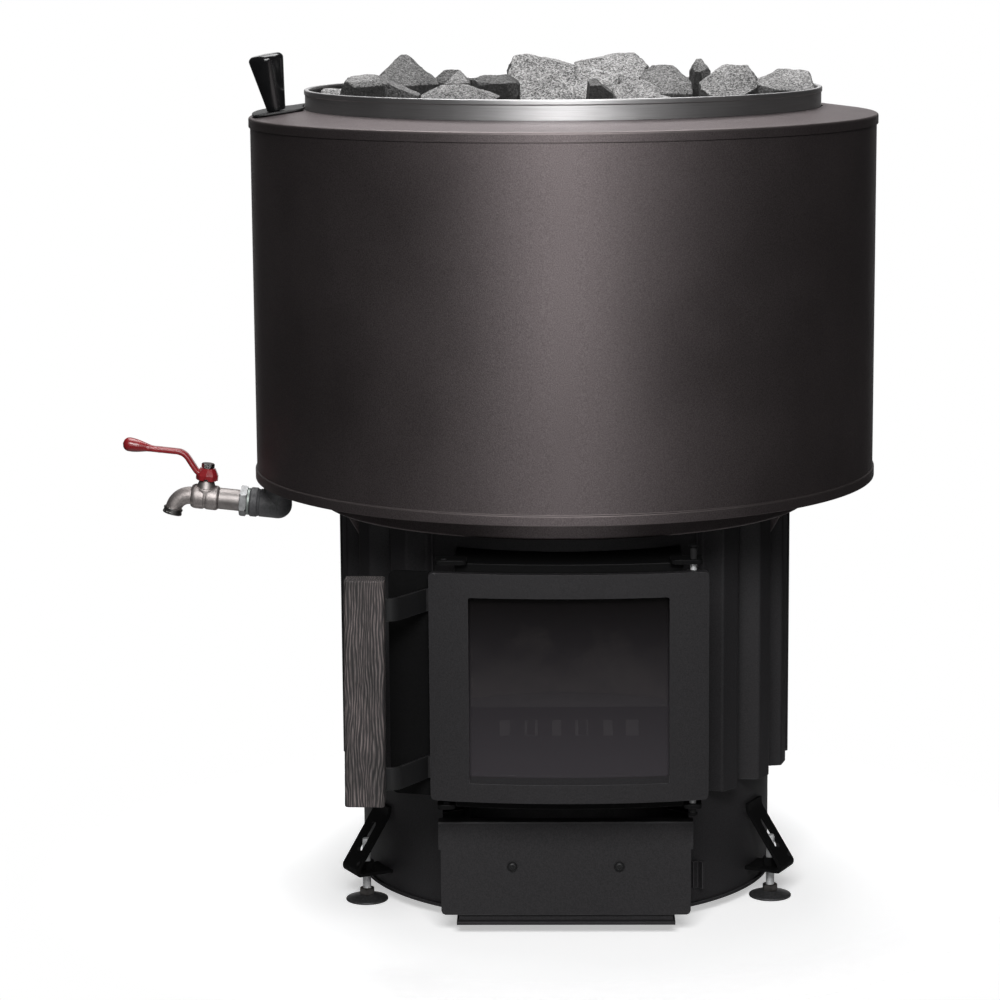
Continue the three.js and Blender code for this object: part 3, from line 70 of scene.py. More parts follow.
# Sizes read from the frame
BODY_RADIUS = corners("body_shell")[1].x
DRUM_BOTTOM = corners("body_shell")[0].z
DRUM_TOP = corners("body_shell")[1].z
COLLAR_RADIUS = corners("support_collar")[1].x
COLLAR_TOP = corners("support_collar")[1].z
JACKET_RADIUS = corners("tank_jacket")[1].x
TANK_UNDERSIDE = corners("tank_jacket")[0].z
JACKET_TOP = corners("tank_jacket")[1].z
COVER_INNER = corners("tank_inner_wall")[1].x - 2
POT_RADIUS = corners("stone_pot")[1].x
POT_TOP = corners("stone_pot")[1].z
RIM_RADIUS = corners("stone_rim")[1].x
RIM_TOP = corners("stone_rim")[1].z
RIM_BOTTOM = corners("stone_rim")[0].z
DOOR_FRONT = corners("door_leaf")[0].y
DOOR_BOTTOM = corners("door_leaf")[0].z
DOOR_TOP = corners("door_leaf")[1].z

# Sizes that the boxes don't give
BODY_WALL = 3
COVER_EDGE = 736
COVER_FOOT = 743
COVER_LIP = 9
COVER_SHEET = 1.5
LIP_SHEET = 1.2
FLUE_HEIGHT = 296
FLUE_RADIUS = 57.5
FLUE_WALL = 2
FLUE_FLANGE = 70
FLUE_SEAT = 197.3
POT_WALL = 2.5
BED_TOP = RIM_TOP - 33
DOOR_CENTRE = 3.5
DOOR_BOW = 546
DOOR_SHEET = 8
LEAF_BACK = DOOR_BOW - DOOR_SHEET
BOW_AXIS = DOOR_BOW + DOOR_FRONT
FRAME_FRONT = 529
FRAME_HALF = 102
FRAME_BOTTOM = 131
FRAME_TOP = 354
PIN = (114, -250.5)
PIN_RADIUS = 3
PIN_HEAD = 4.5
SCREW = (48.8, 65)
FOOT_STUD = BODY_RADIUS + 19
TAP_CENTRE = (-276, 0, 363)
TAP_TILT = 6.3
SEAT = 0.3


def polar(radius, azimuth):
    angle = radians(azimuth)
    return radius * sin(angle), -radius * cos(angle)


# Meshes
def link(name, data):
    """Puts a mesh, a lamp or a camera in the scene."""
    piece = bpy.data.objects.new(name, data)
    bpy.context.scene.collection.objects.link(piece)
    return piece


def new_piece(name, points, faces):
    mesh = bpy.data.meshes.new(name)
    mesh.from_pydata([Vector(point) * MM for point in points], [], faces)
    return clean(link(name, mesh))


def edit(piece, change):
    work = bmesh.new()
    work.from_mesh(piece.data)
    change(work)
    work.to_mesh(piece.data)
    work.free()
    piece.data.update()
    return piece


def clean(piece):
    def change(work):
        bmesh.ops.remove_doubles(work, verts=work.verts, dist=1e-6)
        bmesh.ops.dissolve_degenerate(work, edges=work.edges, dist=1e-7)
        bmesh.ops.recalc_face_normals(work, faces=work.faces)

    return edit(piece, change)


def bake(piece):
    """Turns the piece's modifiers into its mesh."""
    depsgraph = bpy.context.evaluated_depsgraph_get()
    mesh = bpy.data.meshes.new_from_object(piece.evaluated_get(depsgraph))
    old = piece.data
    piece.modifiers.clear()
    piece.data = mesh
    mesh.name = piece.name
    bpy.data.meshes.remove(old)
    return piece


def combine(piece, others, operation):
    for other in others:
        step = piece.modifiers.new("cut", "BOOLEAN")
        step.operation = operation
        step.solver = "EXACT"
        step.object = other
    bake(piece)
    for other in others:
        bpy.data.objects.remove(other)
    return piece


def carve(piece, *cutters):
    return combine(piece, cutters, "DIFFERENCE")


def keep(piece, *cutters):
    return combine(piece, cutters, "INTERSECT")


def weld(piece, *others):
    return combine(piece, others, "UNION")


def gather(piece, *others):
    """Puts several closed meshes in one piece, without joining their skins."""
    work = bmesh.new()
    work.from_mesh(piece.data)
    for other in others:
        work.from_mesh(other.data)
        bpy.data.objects.remove(other)
    work.to_mesh(piece.data)
    work.free()
    return piece


def bevel(piece, width, steps, angle):
    step = piece.modifiers.new("edge", "BEVEL")
    step.width = width * MM
    step.segments = steps
    step.limit_method = "ANGLE"
    step.angle_limit = radians(angle)


def soften(piece, width, steps=2, angle=30):
    """Rounds the piece's edges, so that they catch light."""
    bevel(piece, width, steps, angle)
    return bake(piece)


def place(piece, matrix):
    piece.data.transform(matrix)
    return piece


def shift(x, y, z):
    return Matrix.Translation(Vector((x, y, z)) * MM)


def turn(angle, axis):
    return Matrix.Rotation(radians(angle), 4, axis)


def fillet(path, radius, steps=4, closed=True):
    """Rounds a path's corners, with one radius or one for each. A radius of 0 leaves its corner."""
    radii = radius if isinstance(radius, (list, tuple)) else [radius] * len(path)
    out = []
    for i, (point, reach) in enumerate(zip(path, radii)):
        is_end = not closed and i in (0, len(path) - 1)
        here = Vector(point)
        before = Vector(path[i - 1]) - here
        after = Vector(path[(i + 1) % len(path)]) - here
        if is_end or reach == 0 or before.length == 0 or after.length == 0:
            out.append(tuple(here))
            continue
        cut = min(reach, before.length * 0.48, after.length * 0.48)
        start = here + before.normalized() * cut
        end = here + after.normalized() * cut
        for k in range(steps + 1):
            t = k / steps
            out.append(tuple(start * (1 - t) ** 2 + here * 2 * t * (1 - t) + end * t**2))
    return out


def offset(path, distance):
    """Moves an open path sideways, keeping the sheet's thickness at its bends."""
    normals = []
    for (ax, ay), (bx, by) in zip(path, path[1:]):
        length = hypot(bx - ax, by - ay)
        normals.append((-(by - ay) / length, (bx - ax) / length))
    out = []
    for i, (x, y) in enumerate(path):
        ax, ay = normals[max(0, i - 1)]
        bx, by = normals[min(len(normals) - 1, i)]
        share = distance / (1 + ax * bx + ay * by)
        out.append((x + (ax + bx) * share, y + (ay + by) * share))
    return out


def sheet(path, thickness):
    return path + offset(path, thickness)[::-1]


def quads(rows, count, loop=False):
    """The faces between rows of points that close on themselves, count points to a row."""
    faces = []
    for i in range(rows if loop else rows - 1):
        j = (i + 1) % rows
        for k in range(count):
            n = (k + 1) % count
            faces.append((i * count + k, i * count + n, j * count + n, j * count + k))
    return faces


def ends(rows, count):
    """The caps on the first and the last row."""
    return [list(range(count))[::-1], list(range((rows - 1) * count, rows * count))]


def lathe(name, profile, segments=RING):
    """A closed (radius, height) outline turned about the upright axis."""
    points = [(*polar(radius, 360 * k / segments), height)
              for radius, height in profile for k in range(segments)]
    return new_piece(name, points, quads(len(profile), segments, loop=True))


def tube(name, inner, outer, low, high, rounding=0, segments=RING):
    outline = [(inner, low), (outer, low), (outer, high), (inner, high)]
    return lathe(name, fillet(outline, rounding), segments)


def prism(name, outline, low, high, along="z"):
    """An outline pushed from low to high: (x, y) along z, (x, z) along y or (y, z) along x."""
    spots = {
        "z": lambda a, b, c: (a, b, c),
        "y": lambda a, b, c: (a, c, b),
        "x": lambda a, b, c: (c, a, b),
    }[along]
    points = [spots(a, b, level) for level in (low, high) for a, b in outline]
    return new_piece(name, points, ends(2, len(outline)) + quads(2, len(outline)))


def block(name, x, y, z):
    return prism(name, [(x[0], y[0]), (x[1], y[0]), (x[1], y[1]), (x[0], y[1])], *z)


def rectangle(left, right, bottom, top, corner, steps=6):
    return fillet([(left, bottom), (right, bottom), (right, top), (left, top)], corner, steps)


def hexagon(across):
    corner = across / 2 / cos(pi / 6)
    return [polar(corner, 30 + 60 * i) for i in range(6)]


def circle(radius, count=SMALL_RING, centre=(0, 0)):
    spots = [polar(radius, 360 * i / count) for i in range(count)]
    return [(x + centre[0], y + centre[1]) for x, y in spots]


def hex_nut(name, across, low, high, bore=0, chamfer=0.9):
    """A nut on the Z axis, with the turned chamfer that nuts have."""
    nut = prism(name, hexagon(across), low, high)
    corner = across / 2 / cos(pi / 6)
    full = corner + 0.2
    cone = [(0, low), (corner - chamfer, low), (full, low + chamfer), (full, high - chamfer),
            (corner - chamfer, high), (0, high)]
    keep(nut, lathe("cone", cone, SMALL_RING))
    if bore:
        carve(nut, prism("bore", circle(bore), low - 1, high + 1))
    return nut


def bow(piece, step=3):
    """Bends a flat plate about the door's upright bow axis. In the flat plate, y is the bow radius
    that a point will have, below zero."""
    low = min(v.co.x for v in piece.data.vertices)
    high = max(v.co.x for v in piece.data.vertices)

    def change(work):
        count = int((high - low) / (step * MM))
        for i in range(1, count):
            x = low + (high - low) * i / count
            everything = work.verts[:] + work.edges[:] + work.faces[:]
            bmesh.ops.bisect_plane(work, geom=everything, dist=1e-7, plane_co=(x, 0, 0), plane_no=(1, 0, 0))
        for v in work.verts:
            radius = -v.co.y
            aside = v.co.x - DOOR_CENTRE * MM
            v.co.y = BOW_AXIS * MM - sqrt(radius**2 - aside**2)

    return edit(piece, change)


def sweep(name, path, radii=None, segments=SMALL_RING, section=None):
    """A bar along a path in the XZ plane: round with a radius at each point, or with its own section."""
    points = []
    for i, spot in enumerate(path):
        way = (path[min(i + 1, len(path) - 1)] - path[max(i - 1, 0)]).normalized()
        side = Vector((0, 1, 0))
        up = way.cross(side)
        for k in range(segments):
            a = 2 * pi * k / segments
            wide, high = section(spot, a) if section else (cos(a) * radii[i], sin(a) * radii[i])
            points.append(spot + side * wide + up * high)
    return new_piece(name, points, quads(len(path), segments) + ends(len(path), segments))


def shade(piece, angle=32):
    def change(work):
        for face in work.faces:
            face.smooth = True
        for edge in work.edges:
            sharp = len(edge.link_faces) != 2 or edge.calc_face_angle(0) > radians(angle)
            edge.smooth = not sharp

    return edit(piece, change)


# Materials
MATERIALS = {}


class Tree:
    """A node tree that is put together step by step."""

    def __init__(self, owner):
        owner.use_nodes = True
        self.tree = owner.node_tree

    def feed(self, socket, value):
        """Sets an input, or links another node's output to it."""
        if isinstance(value, bpy.types.NodeSocket):
            self.tree.links.new(value, socket)
        else:
            socket.default_value = value

    def node(self, kind, inputs=None, **values):
        node = self.tree.nodes.new(kind)
        for key, value in values.items():
            setattr(node, key, value)
        for key, value in (inputs or {}).items():
            self.feed(node.inputs[key], value)
        return node

    def along(self, axis, place):
        return self.node("ShaderNodeSeparateXYZ", {0: place}).outputs[axis]

    def spread(self, value, low, high, start=0.0, end=1.0, ease="LINEAR"):
        """Maps low..high of a value to start..end."""
        inputs = {"Value": value, "From Min": low, "From Max": high, "To Min": start, "To Max": end}
        return self.node("ShaderNodeMapRange", inputs, interpolation_type=ease).outputs[0]

    def math(self, operation, a, b=0):
        return self.node("ShaderNodeMath", {0: a, 1: b}, operation=operation).outputs[0]


class Shader(Tree):
    """A material around the Principled surface, in the object's own coordinates."""

    def __init__(self, name):
        MATERIALS[name] = bpy.data.materials.new(name)
        super().__init__(MATERIALS[name])
        self.surface = self.tree.nodes["Principled BSDF"]
        self.place = self.node("ShaderNodeTexCoord").outputs["Object"]

    def set(self, **values):
        for key, value in values.items():
            self.feed(self.surface.inputs[key.replace("_", " ")], value)

    def noise(self, scale, detail=2.0, roughness=0.5, stretch=None):
        place = self.place
        if stretch:
            place = self.node("ShaderNodeMapping", {"Scale": stretch, "Vector": place}).outputs[0]
        inputs = {"Scale": scale, "Detail": detail, "Roughness": roughness, "Vector": place}
        return self.node("ShaderNodeTexNoise", inputs).outputs["Fac"]

    def mark(self, name):
        return self.node("ShaderNodeAttribute", attribute_name=name).outputs["Fac"]

    def mix(self, factor, a, b):
        a, b = ((*value, 1) if isinstance(value, tuple) else value for value in (a, b))
        return self.node("ShaderNodeMix", {"Factor": factor, 6: a, 7: b}, data_type="RGBA").outputs[2]

    def bump(self, height, distance):
        inputs = {"Strength": 1.0, "Distance": distance * MM, "Height": height}
        return self.node("ShaderNodeBump", inputs).outputs[0]


def coated(name, dark, light, roughness, grain, bump, edge_highlight=None, **values):
    """Painted or cast metal: a fine grain in colour and height, a slow drift of gloss, and a painted
    highlight in a paler colour along marked edges.
    """
    shader = Shader(name)
    fine = shader.noise(grain, 3, 0.6)
    paint = shader.mix(shader.spread(fine, 0.35, 0.65), dark, light)
    if edge_highlight:
        # Paler colour on the marked edge faces, in patches: a painted highlight of edges catching light
        patches = shader.spread(shader.noise(60, 3), 0.3, 0.6, 0.45, 1.0)
        paint = shader.mix(shader.math("MULTIPLY", shader.mark("edge_highlight"), patches), paint, edge_highlight)
    gloss = shader.spread(shader.noise(9, 3), 0.3, 0.7, roughness - 0.04, roughness + 0.05)
    shader.set(Base_Color=paint, Roughness=gloss, Normal=shader.bump(fine, bump), **values)


EDGE = {"Specular_Tint": (0.30, 0.28, 0.28, 1)}
# The colour after the two paint tones is the painted edge highlight
coated("black_steel", (0.010, 0.0092, 0.0102), (0.020, 0.0188, 0.0206), 0.66, 900, 0.12,
       (0.055, 0.053, 0.056), Specular_IOR_Level=0.35)
coated("inner_black", (0.012, 0.0115, 0.0115), (0.020, 0.019, 0.019), 0.8, 500, 0.2, Specular_IOR_Level=0.25)
coated("satin_black", (0.007, 0.007, 0.0075), (0.011, 0.011, 0.0115), 0.5, 700, 0.05,
       (0.035, 0.034, 0.035), Specular_IOR_Level=0.35)
# Near black; on the front frame and the handle's shield it is painted shade
coated("deep_black", (0.0016, 0.0016, 0.0017), (0.0028, 0.0028, 0.003), 0.75, 500, 0.05,
       (0.020, 0.0195, 0.020), Specular_IOR_Level=0.12)
coated("cast_iron", (0.028, 0.026, 0.025), (0.052, 0.049, 0.047), 0.72, 420, 0.35)
coated("bronze_coat", (0.103, 0.087, 0.089), (0.160, 0.138, 0.140), 0.51, 1000, 0.10,
       (0.15, 0.13, 0.13), Metallic=0.95)
coated("zinc", (0.30, 0.303, 0.306), (0.42, 0.425, 0.43), 0.55, 260, 0.03, Metallic=1.0, **EDGE)
coated("bright_zinc", (0.55, 0.555, 0.56), (0.70, 0.705, 0.71), 0.42, 260, 0.03, Metallic=0.4)
coated("ash", (0.045, 0.043, 0.041), (0.11, 0.105, 0.10), 0.95, 120, 0.5)
coated("nickel", (0.36, 0.33, 0.32), (0.52, 0.475, 0.46), 0.55, 700, 0.08, Metallic=1.0, **EDGE)
coated("chrome", (0.38, 0.37, 0.36), (0.46, 0.45, 0.44), 0.26, 120, 0.01, Metallic=1.0, **EDGE)
coated("grey_plastic", (0.075, 0.075, 0.078), (0.11, 0.11, 0.115), 0.55, 500, 0.08)
coated("red_paint", (0.20, 0.009, 0.013), (0.29, 0.016, 0.020), 0.34, 110, 0.25, Coat_Weight=0.3)
coated("black_knob", (0.005, 0.005, 0.0055), (0.007, 0.007, 0.0075), 0.14, 90, 0.01)
coated("foot_steel", (0.05, 0.05, 0.052), (0.085, 0.085, 0.088), 0.5, 420, 0.1, Metallic=0.6)
coated("satin_nickel", (0.31, 0.285, 0.277), (0.39, 0.36, 0.35), 0.54, 160, 0.02, Metallic=1.0, **EDGE)
coated("dark_nickel", (0.11, 0.105, 0.10), (0.16, 0.15, 0.145), 0.36, 160, 0.02, Metallic=1.0, **EDGE)
coated("pale_zinc", (0.24, 0.27, 0.255), (0.33, 0.36, 0.345), 0.5, 260, 0.03, Metallic=0.7)


def brushed_steel():
    shader = Shader("stainless")
    strokes = shader.noise(1, 4, 0.7, (22, 22, 2600))
    colour = shader.mix(shader.spread(strokes, 0.3, 0.7), (0.37, 0.363, 0.363), (0.49, 0.485, 0.49))
    gloss = shader.spread(shader.noise(14, 3), 0.3, 0.7, 0.42, 0.49)
    shader.set(Base_Color=colour, Roughness=gloss, Normal=shader.bump(strokes, 0.03), Metallic=1.0)


def tinted_glass():
    """Tinted pane whose colour runs from near black at the top to paler towards its foot: painted shade at
    the top, painted light at the foot.
    """
    shader = Shader("door_glass")
    painted_shade_to_light = shader.spread(shader.along("Z", shader.place), 0.325, 0.165)
    shader.set(Base_Color=shader.mix(painted_shade_to_light, (0.0040, 0.0034, 0.0034), (0.055, 0.050, 0.056)),
               Roughness=shader.spread(shader.noise(16, 4), 0.3, 0.7, 0.03, 0.06), Alpha=0.74, IOR=1.5)


def board_with_painted_shade():
    """Pale board, painted black above its foot: painted shade where no light reaches."""
    shader = Shader("fire_board")
    patches = shader.noise(26, 5, 0.6)
    drift = shader.spread(patches, 0.3, 0.7, -0.03, 0.03)
    # Height at which the painted shade begins, with a little waver
    reach = shader.math("ADD", shader.along("Z", shader.place), drift)
    colour = shader.mix(shader.spread(reach, 0.195, 0.14), (0.010, 0.009, 0.009), (0.16, 0.145, 0.13))
    shader.set(Base_Color=colour, Normal=shader.bump(patches, 0.5), Roughness=0.95, Specular_IOR_Level=0.2)


def woven_rope():
    shader = Shader("gasket_rope")
    inputs = {"Scale": 160, "Distortion": 3, "Vector": shader.place}
    wave = shader.node("ShaderNodeTexWave", inputs, wave_type="BANDS", bands_direction="DIAGONAL")
    strands = wave.outputs["Fac"]
    shader.set(Base_Color=shader.mix(strands, (0.06, 0.058, 0.055), (0.17, 0.16, 0.15)),
               Normal=shader.bump(strands, 0.8), Roughness=0.95)


def brushed_ash():
    """Dark ash with open grain: growth lines that run along the bar in slow waves, and fine pores."""
    shader = Shader("dark_ash")
    sway = shader.spread(shader.noise(1, 3, 0.6, (26, 26, 7)), 0.0, 1.0, -0.013, 0.013)
    aside = shader.math("ADD", shader.along("X", shader.place), sway)
    wave = shader.spread(shader.math("SINE", shader.math("MULTIPLY", aside, 2700)), -0.9, 1.0)
    pores = shader.noise(1, 3, 0.6, (1100, 1100, 60))
    grain = shader.math("MULTIPLY", wave, shader.spread(pores, 0.38, 0.58, 0.1, 1.0))
    drift = shader.noise(1, stretch=(60, 60, 12))
    wood = shader.mix(shader.spread(drift, 0.35, 0.65), (0.012, 0.0105, 0.0105), (0.026, 0.024, 0.025))
    pale = shader.mix(shader.spread(drift, 0.4, 0.6), (0.135, 0.118, 0.115), (0.21, 0.175, 0.17))
    shader.set(Base_Color=shader.mix(grain, wood, pale), Normal=shader.bump(grain, 0.35),
               Roughness=shader.spread(grain, 0.0, 1.0, 0.75, 0.6))


def granite():
    """Split stone: fine salt-and-pepper crystals on a dull face, with paler and darker veins."""
    shader = Shader("granite")
    crystals = shader.node("ShaderNodeTexVoronoi", {"Scale": 900, "Vector": shader.place})
    speck = shader.node("ShaderNodeSeparateColor", {0: crystals.outputs["Color"]})
    veins = shader.noise(22, 5, 0.65)
    tone = shader.math("ADD", speck.outputs[0], shader.spread(veins, 0.3, 0.7, -0.22, 0.22))
    ramp = shader.node("ShaderNodeValToRGB", {0: tone})
    stops = ((0.0, 0.06), (0.25, 0.16), (0.5, 0.28), (0.8, 0.41), (1.0, 0.60))
    elements = ramp.color_ramp.elements
    while len(elements) < len(stops):
        elements.new(0.5)
    for (position, level), element in zip(stops, elements):
        element.position = position
        element.color = (level, level * 0.985, level * 0.98, 1)
    rough = shader.math("ADD", shader.noise(300, 4, 0.7), veins)
    # The tone mark from rock() holds each face's own tone with painted light: faces that look up are painted
    # paler
    shader.set(Base_Color=shader.mix(shader.mark("tone"), (0.012, 0.0118, 0.0116), ramp.outputs[0]),
               Normal=shader.bump(rough, 0.7), Roughness=0.9, Specular_IOR_Level=0.3)


brushed_steel()
tinted_glass()
board_with_painted_shade()
woven_rope()
brushed_ash()
granite()


def paint_edge_highlights(piece):
    """Marks the narrow faces along bends and rims, which get a paler colour as a painted highlight."""
    mesh = piece.data
    marks = mesh.attributes.new("edge_highlight", "FLOAT", "FACE")
    for face in mesh.polygons:
        around = [mesh.vertices[v].co for v in face.vertices]
        longest = max((a - b).length for a, b in zip(around, around[1:] + around[:1]))
        width = face.area / longest
        marks.data[face.index].value = 1.0 if width < 0.9 * MM and longest > 3 * MM else 0.0


# Materials whose marked edges get a painted highlight
EDGE_HIGHLIGHTED = ("black_steel", "satin_black", "deep_black", "bronze_coat")


def dress(piece, slot, node, material=None, body="stove_body", smooth=32):
    """The last step of every piece: shading, material, the body it rides on and what it stands for."""
    shade(piece, smooth)
    # Narrow edge faces are marked for the painted highlight
    if (material or slot) in EDGE_HIGHLIGHTED:
        paint_edge_highlights(piece)
    if slot != "granite":
        even = piece.modifiers.new("even", "WEIGHTED_NORMAL")
        even.keep_sharp = True
    piece.data.materials.clear()
    piece.data.materials.append(MATERIALS[material or slot])
    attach(piece, body)
    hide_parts(node)
    return piece


def repaint(node, material, edge=0.4):
    """Keeps a CAD node, with a node material and softened edges."""
    piece = frame["nodes"][node]
    piece.data.materials.clear()
    piece.data.materials.append(MATERIALS[material])
    bevel(piece, edge, 2, 40)


# Body
def base_plate():
    low, high = corners("base_plate")
    plate = tube("base_plate", 0, high.x, low.z, high.z)
    lip = block("lip", (-100, 100), (low.y, 0), (low.z, high.z))
    weld(plate, lip)
    soften(plate, 0.6)
    dress(plate, "black_steel", "base_plate")


def bow_band(name, outer, inner, low, high):
    """A column between two radii about the door's bow axis."""
    def arc(radius):
        return [(DOOR_CENTRE + x, BOW_AXIS + y) for x, y in (polar(radius, a / 2) for a in range(-40, 41))]

    return prism(name, arc(outer) + arc(inner)[::-1], low, high)


def drum():
    shell = tube("drum", BODY_RADIUS - BODY_WALL, BODY_RADIUS, DRUM_BOTTOM, DRUM_TOP)
    ash_mouth = block("ash_mouth", (-114, 114), (-BODY_RADIUS - 6, 0), (DRUM_BOTTOM - 5, 128))
    fire_mouth = block(
        "fire_mouth", (DOOR_CENTRE - FRAME_HALF + 3, DOOR_CENTRE + FRAME_HALF - 3),
        (-BODY_RADIUS - 6, 0), (FRAME_BOTTOM + 3, FRAME_TOP - 3))
    flue = circle(FLUE_RADIUS + SEAT, DISC_RING, (0, FLUE_HEIGHT))
    flue = prism("flue_hole", flue, 0, BODY_RADIUS + 6, "y")
    carve(shell, ash_mouth, fire_mouth, flue)
    soften(shell, 0.5)
    # Folded tab that the drawer's edge stops against
    inner, outer = BODY_RADIUS - 2, BODY_RADIUS + 9
    tab = prism("catch", [(-4, -inner), (4, -inner), (4, -outer), (1.5, -outer),
                          (1.5, -BODY_RADIUS - 2.5), (-4, -BODY_RADIUS - 2.5)], 27, 53)
    place(soften(tab, 0.4), turn(37.6, "Z"))
    gather(shell, tab)
    dress(shell, "black_steel", "body_shell")


def rib_panel(side):
    """Trapezoid folds with rounded bends, eight to a side."""
    name = "rib_panel_left" if side < 0 else "rib_panel_right"
    low, high = corners(name)
    valley, ridge = BODY_RADIUS + 1.8, BODY_RADIUS + 19.3
    edge = degrees(asin((DOOR_CENTRE + FRAME_HALF + 14.7) / BODY_RADIUS))
    first = edge + 7.4
    skin = [polar(valley, side * edge)]
    for i in range(8):
        middle = first + 15 * i
        if i:
            skin.append(polar(valley * 1.0004, side * (middle - 7.5)))
        for radius, angle in ((valley, -5.6), (ridge, -2.8), (ridge, 2.8), (valley, 5.6)):
            skin.append(polar(radius, side * (middle + angle)))
    skin.append(polar(valley, side * (first + 105 + 7.4)))
    outline = fillet(skin, 2.2, 3, closed=False)
    panel = prism(name + "_skin", sheet(outline, side * 1.5), low.z, high.z)
    dress(soften(panel, 0.35, 2, 60), "black_steel", name)


def support_collar():
    top, low = COLLAR_TOP, DRUM_TOP + SEAT
    ring = lathe("support_collar", fillet(
        [(BODY_RADIUS - 11, low), (COLLAR_RADIUS, low), (COLLAR_RADIUS, top), (COLLAR_RADIUS - 2.5, top),
         (COLLAR_RADIUS - 2.5, low + 3), (BODY_RADIUS - 11, low + 3)], [0.5, 2.5, 0.5, 0.5, 1, 0.5]))
    root, tip = BODY_RADIUS + 2.1, COLLAR_RADIUS - 10.9
    for azimuth in (67.5, 112.5, -67.5, -112.5):
        outline = fillet([(root, low), (root, low - 30), (root + 5, low - 30), (tip, low)], [0, 0, 2, 0])
        plate = prism("gusset", outline, -1.5, 1.5, "y")
        gather(ring, place(soften(plate, 0.5), turn(azimuth - 90, "Z")))
    dress(ring, "bronze_coat", "support_collar")


def tank():
    outer, hem = JACKET_RADIUS - 1.5, JACKET_RADIUS - LIP_SHEET
    low = TANK_UNDERSIDE
    profile = [(outer - 1.8, low + 2.3), (hem, low + 2.3), (hem, low), (JACKET_RADIUS, low),
               (JACKET_RADIUS, low + COVER_LIP), (outer, low + COVER_LIP + 0.8), (outer, JACKET_TOP),
               (outer - 1.8, JACKET_TOP)]
    jacket = lathe("tank_jacket", fillet(profile, [0.3, 0, 0.4, 0.6, 0.8, 0.5, 0.3, 0.3]), FINE_RING)
    dress(jacket, "bronze_coat", "tank_jacket", smooth=50)

    drop = COVER_EDGE - COVER_LIP
    inner = JACKET_RADIUS - LIP_SHEET
    profile = [(COVER_INNER, COVER_FOOT - COVER_SHEET), (COVER_INNER, COVER_FOOT),
               (JACKET_RADIUS, COVER_EDGE), (JACKET_RADIUS, drop), (inner, drop),
               (inner, COVER_EDGE - COVER_SHEET)]
    cover = lathe("top_cover", fillet(profile, [0.3, 0.3, 2.2, 0.4, 0.4, 0.6], 6), FINE_RING)
    mouth = sector("mouth", 252, 284.5, -118.4, -79, lambda r: 720, lambda r: 765, 8)
    carve(cover, mouth)
    for start, end in ((-18.3, -6.3), (6.3, 18.3)):
        gather(cover, hinge_barrel("knuckle", 4, start, end, HINGE_BORE), knuckle_foot(start, end))
    dress(cover, "bronze_coat", "top_cover")


COVER_SLOPE = (COVER_FOOT - COVER_EDGE) / (JACKET_RADIUS - COVER_INNER)
COVER_TILT = degrees(atan(COVER_SLOPE))
HINGE_AZIMUTH = -122
HINGE_MIDDLE = 268.25
HINGE_LIFT = 4.3
HINGE_BORE = 2.35


def cover_at(radius):
    return COVER_EDGE + (JACKET_RADIUS - radius) * COVER_SLOPE


# The place of the lid's hinge: +X runs down the cover's slope, +Z out of it
HINGE = (shift(*polar(HINGE_MIDDLE, HINGE_AZIMUTH), cover_at(HINGE_MIDDLE))
         @ turn(HINGE_AZIMUTH - 90, "Z") @ turn(COVER_TILT, "Y"))


def hinge_barrel(name, radius, start, end, bore=0):
    barrel = tube(name, bore, radius, start, end, 0.5, SMALL_RING)
    return place(barrel, HINGE @ shift(0, 0, HINGE_LIFT) @ turn(90, "Y"))


def knuckle_foot(start, end):
    foot = block("foot", (start + 1.2, end - 1.2), (-2.6, 2.6), (-0.6, HINGE_LIFT))
    return place(soften(foot, 0.6), HINGE)


def sector(name, inner, outer, start, end, low, high, corner):
    """A plate between two radii and azimuths with rounded corners; low and high give its faces."""
    middle = (inner + outer) / 2
    span = radians(end - start) * middle
    outline = rectangle(0, span, inner, outer, corner, 8)
    dense = []
    for (s, r), (t, q) in zip(outline, outline[1:] + outline[:1]):
        steps = max(1, int(abs(t - s) / 4))
        dense += [(s + (t - s) * k / steps, r + (q - r) * k / steps) for k in range(steps)]
    points = []
    for face in (low, high):
        for s, r in dense:
            points.append((*polar(r, start + degrees(s / middle)), face(r)))
    return new_piece(name, points, ends(2, len(dense)) + quads(2, len(dense)))


def pot_and_rim():
    pot = tube("stone_pot", POT_RADIUS - POT_WALL, POT_RADIUS, corners("stone_pot")[0].z, POT_TOP, 0.5)
    dress(pot, "black_steel", "stone_pot", "inner_black")
    skirt = RIM_RADIUS - 2
    bead = RIM_TOP - 3
    face = RIM_RADIUS - 0.8
    profile = [(skirt, RIM_BOTTOM), (face, RIM_BOTTOM), (face, RIM_TOP - 5.2), (RIM_RADIUS, RIM_TOP - 4.4),
               (RIM_RADIUS, RIM_TOP), (RIM_RADIUS - 4.5, RIM_TOP), (RIM_RADIUS - 4.5, bead), (skirt, bead)]
    rim = lathe("stone_rim", fillet(profile, [0.3, 0.3, 0.1, 0.5, 1.4, 1.4, 0.8, 0.3], 6), FINE_RING)
    dress(rim, "stainless", "stone_rim", smooth=60)


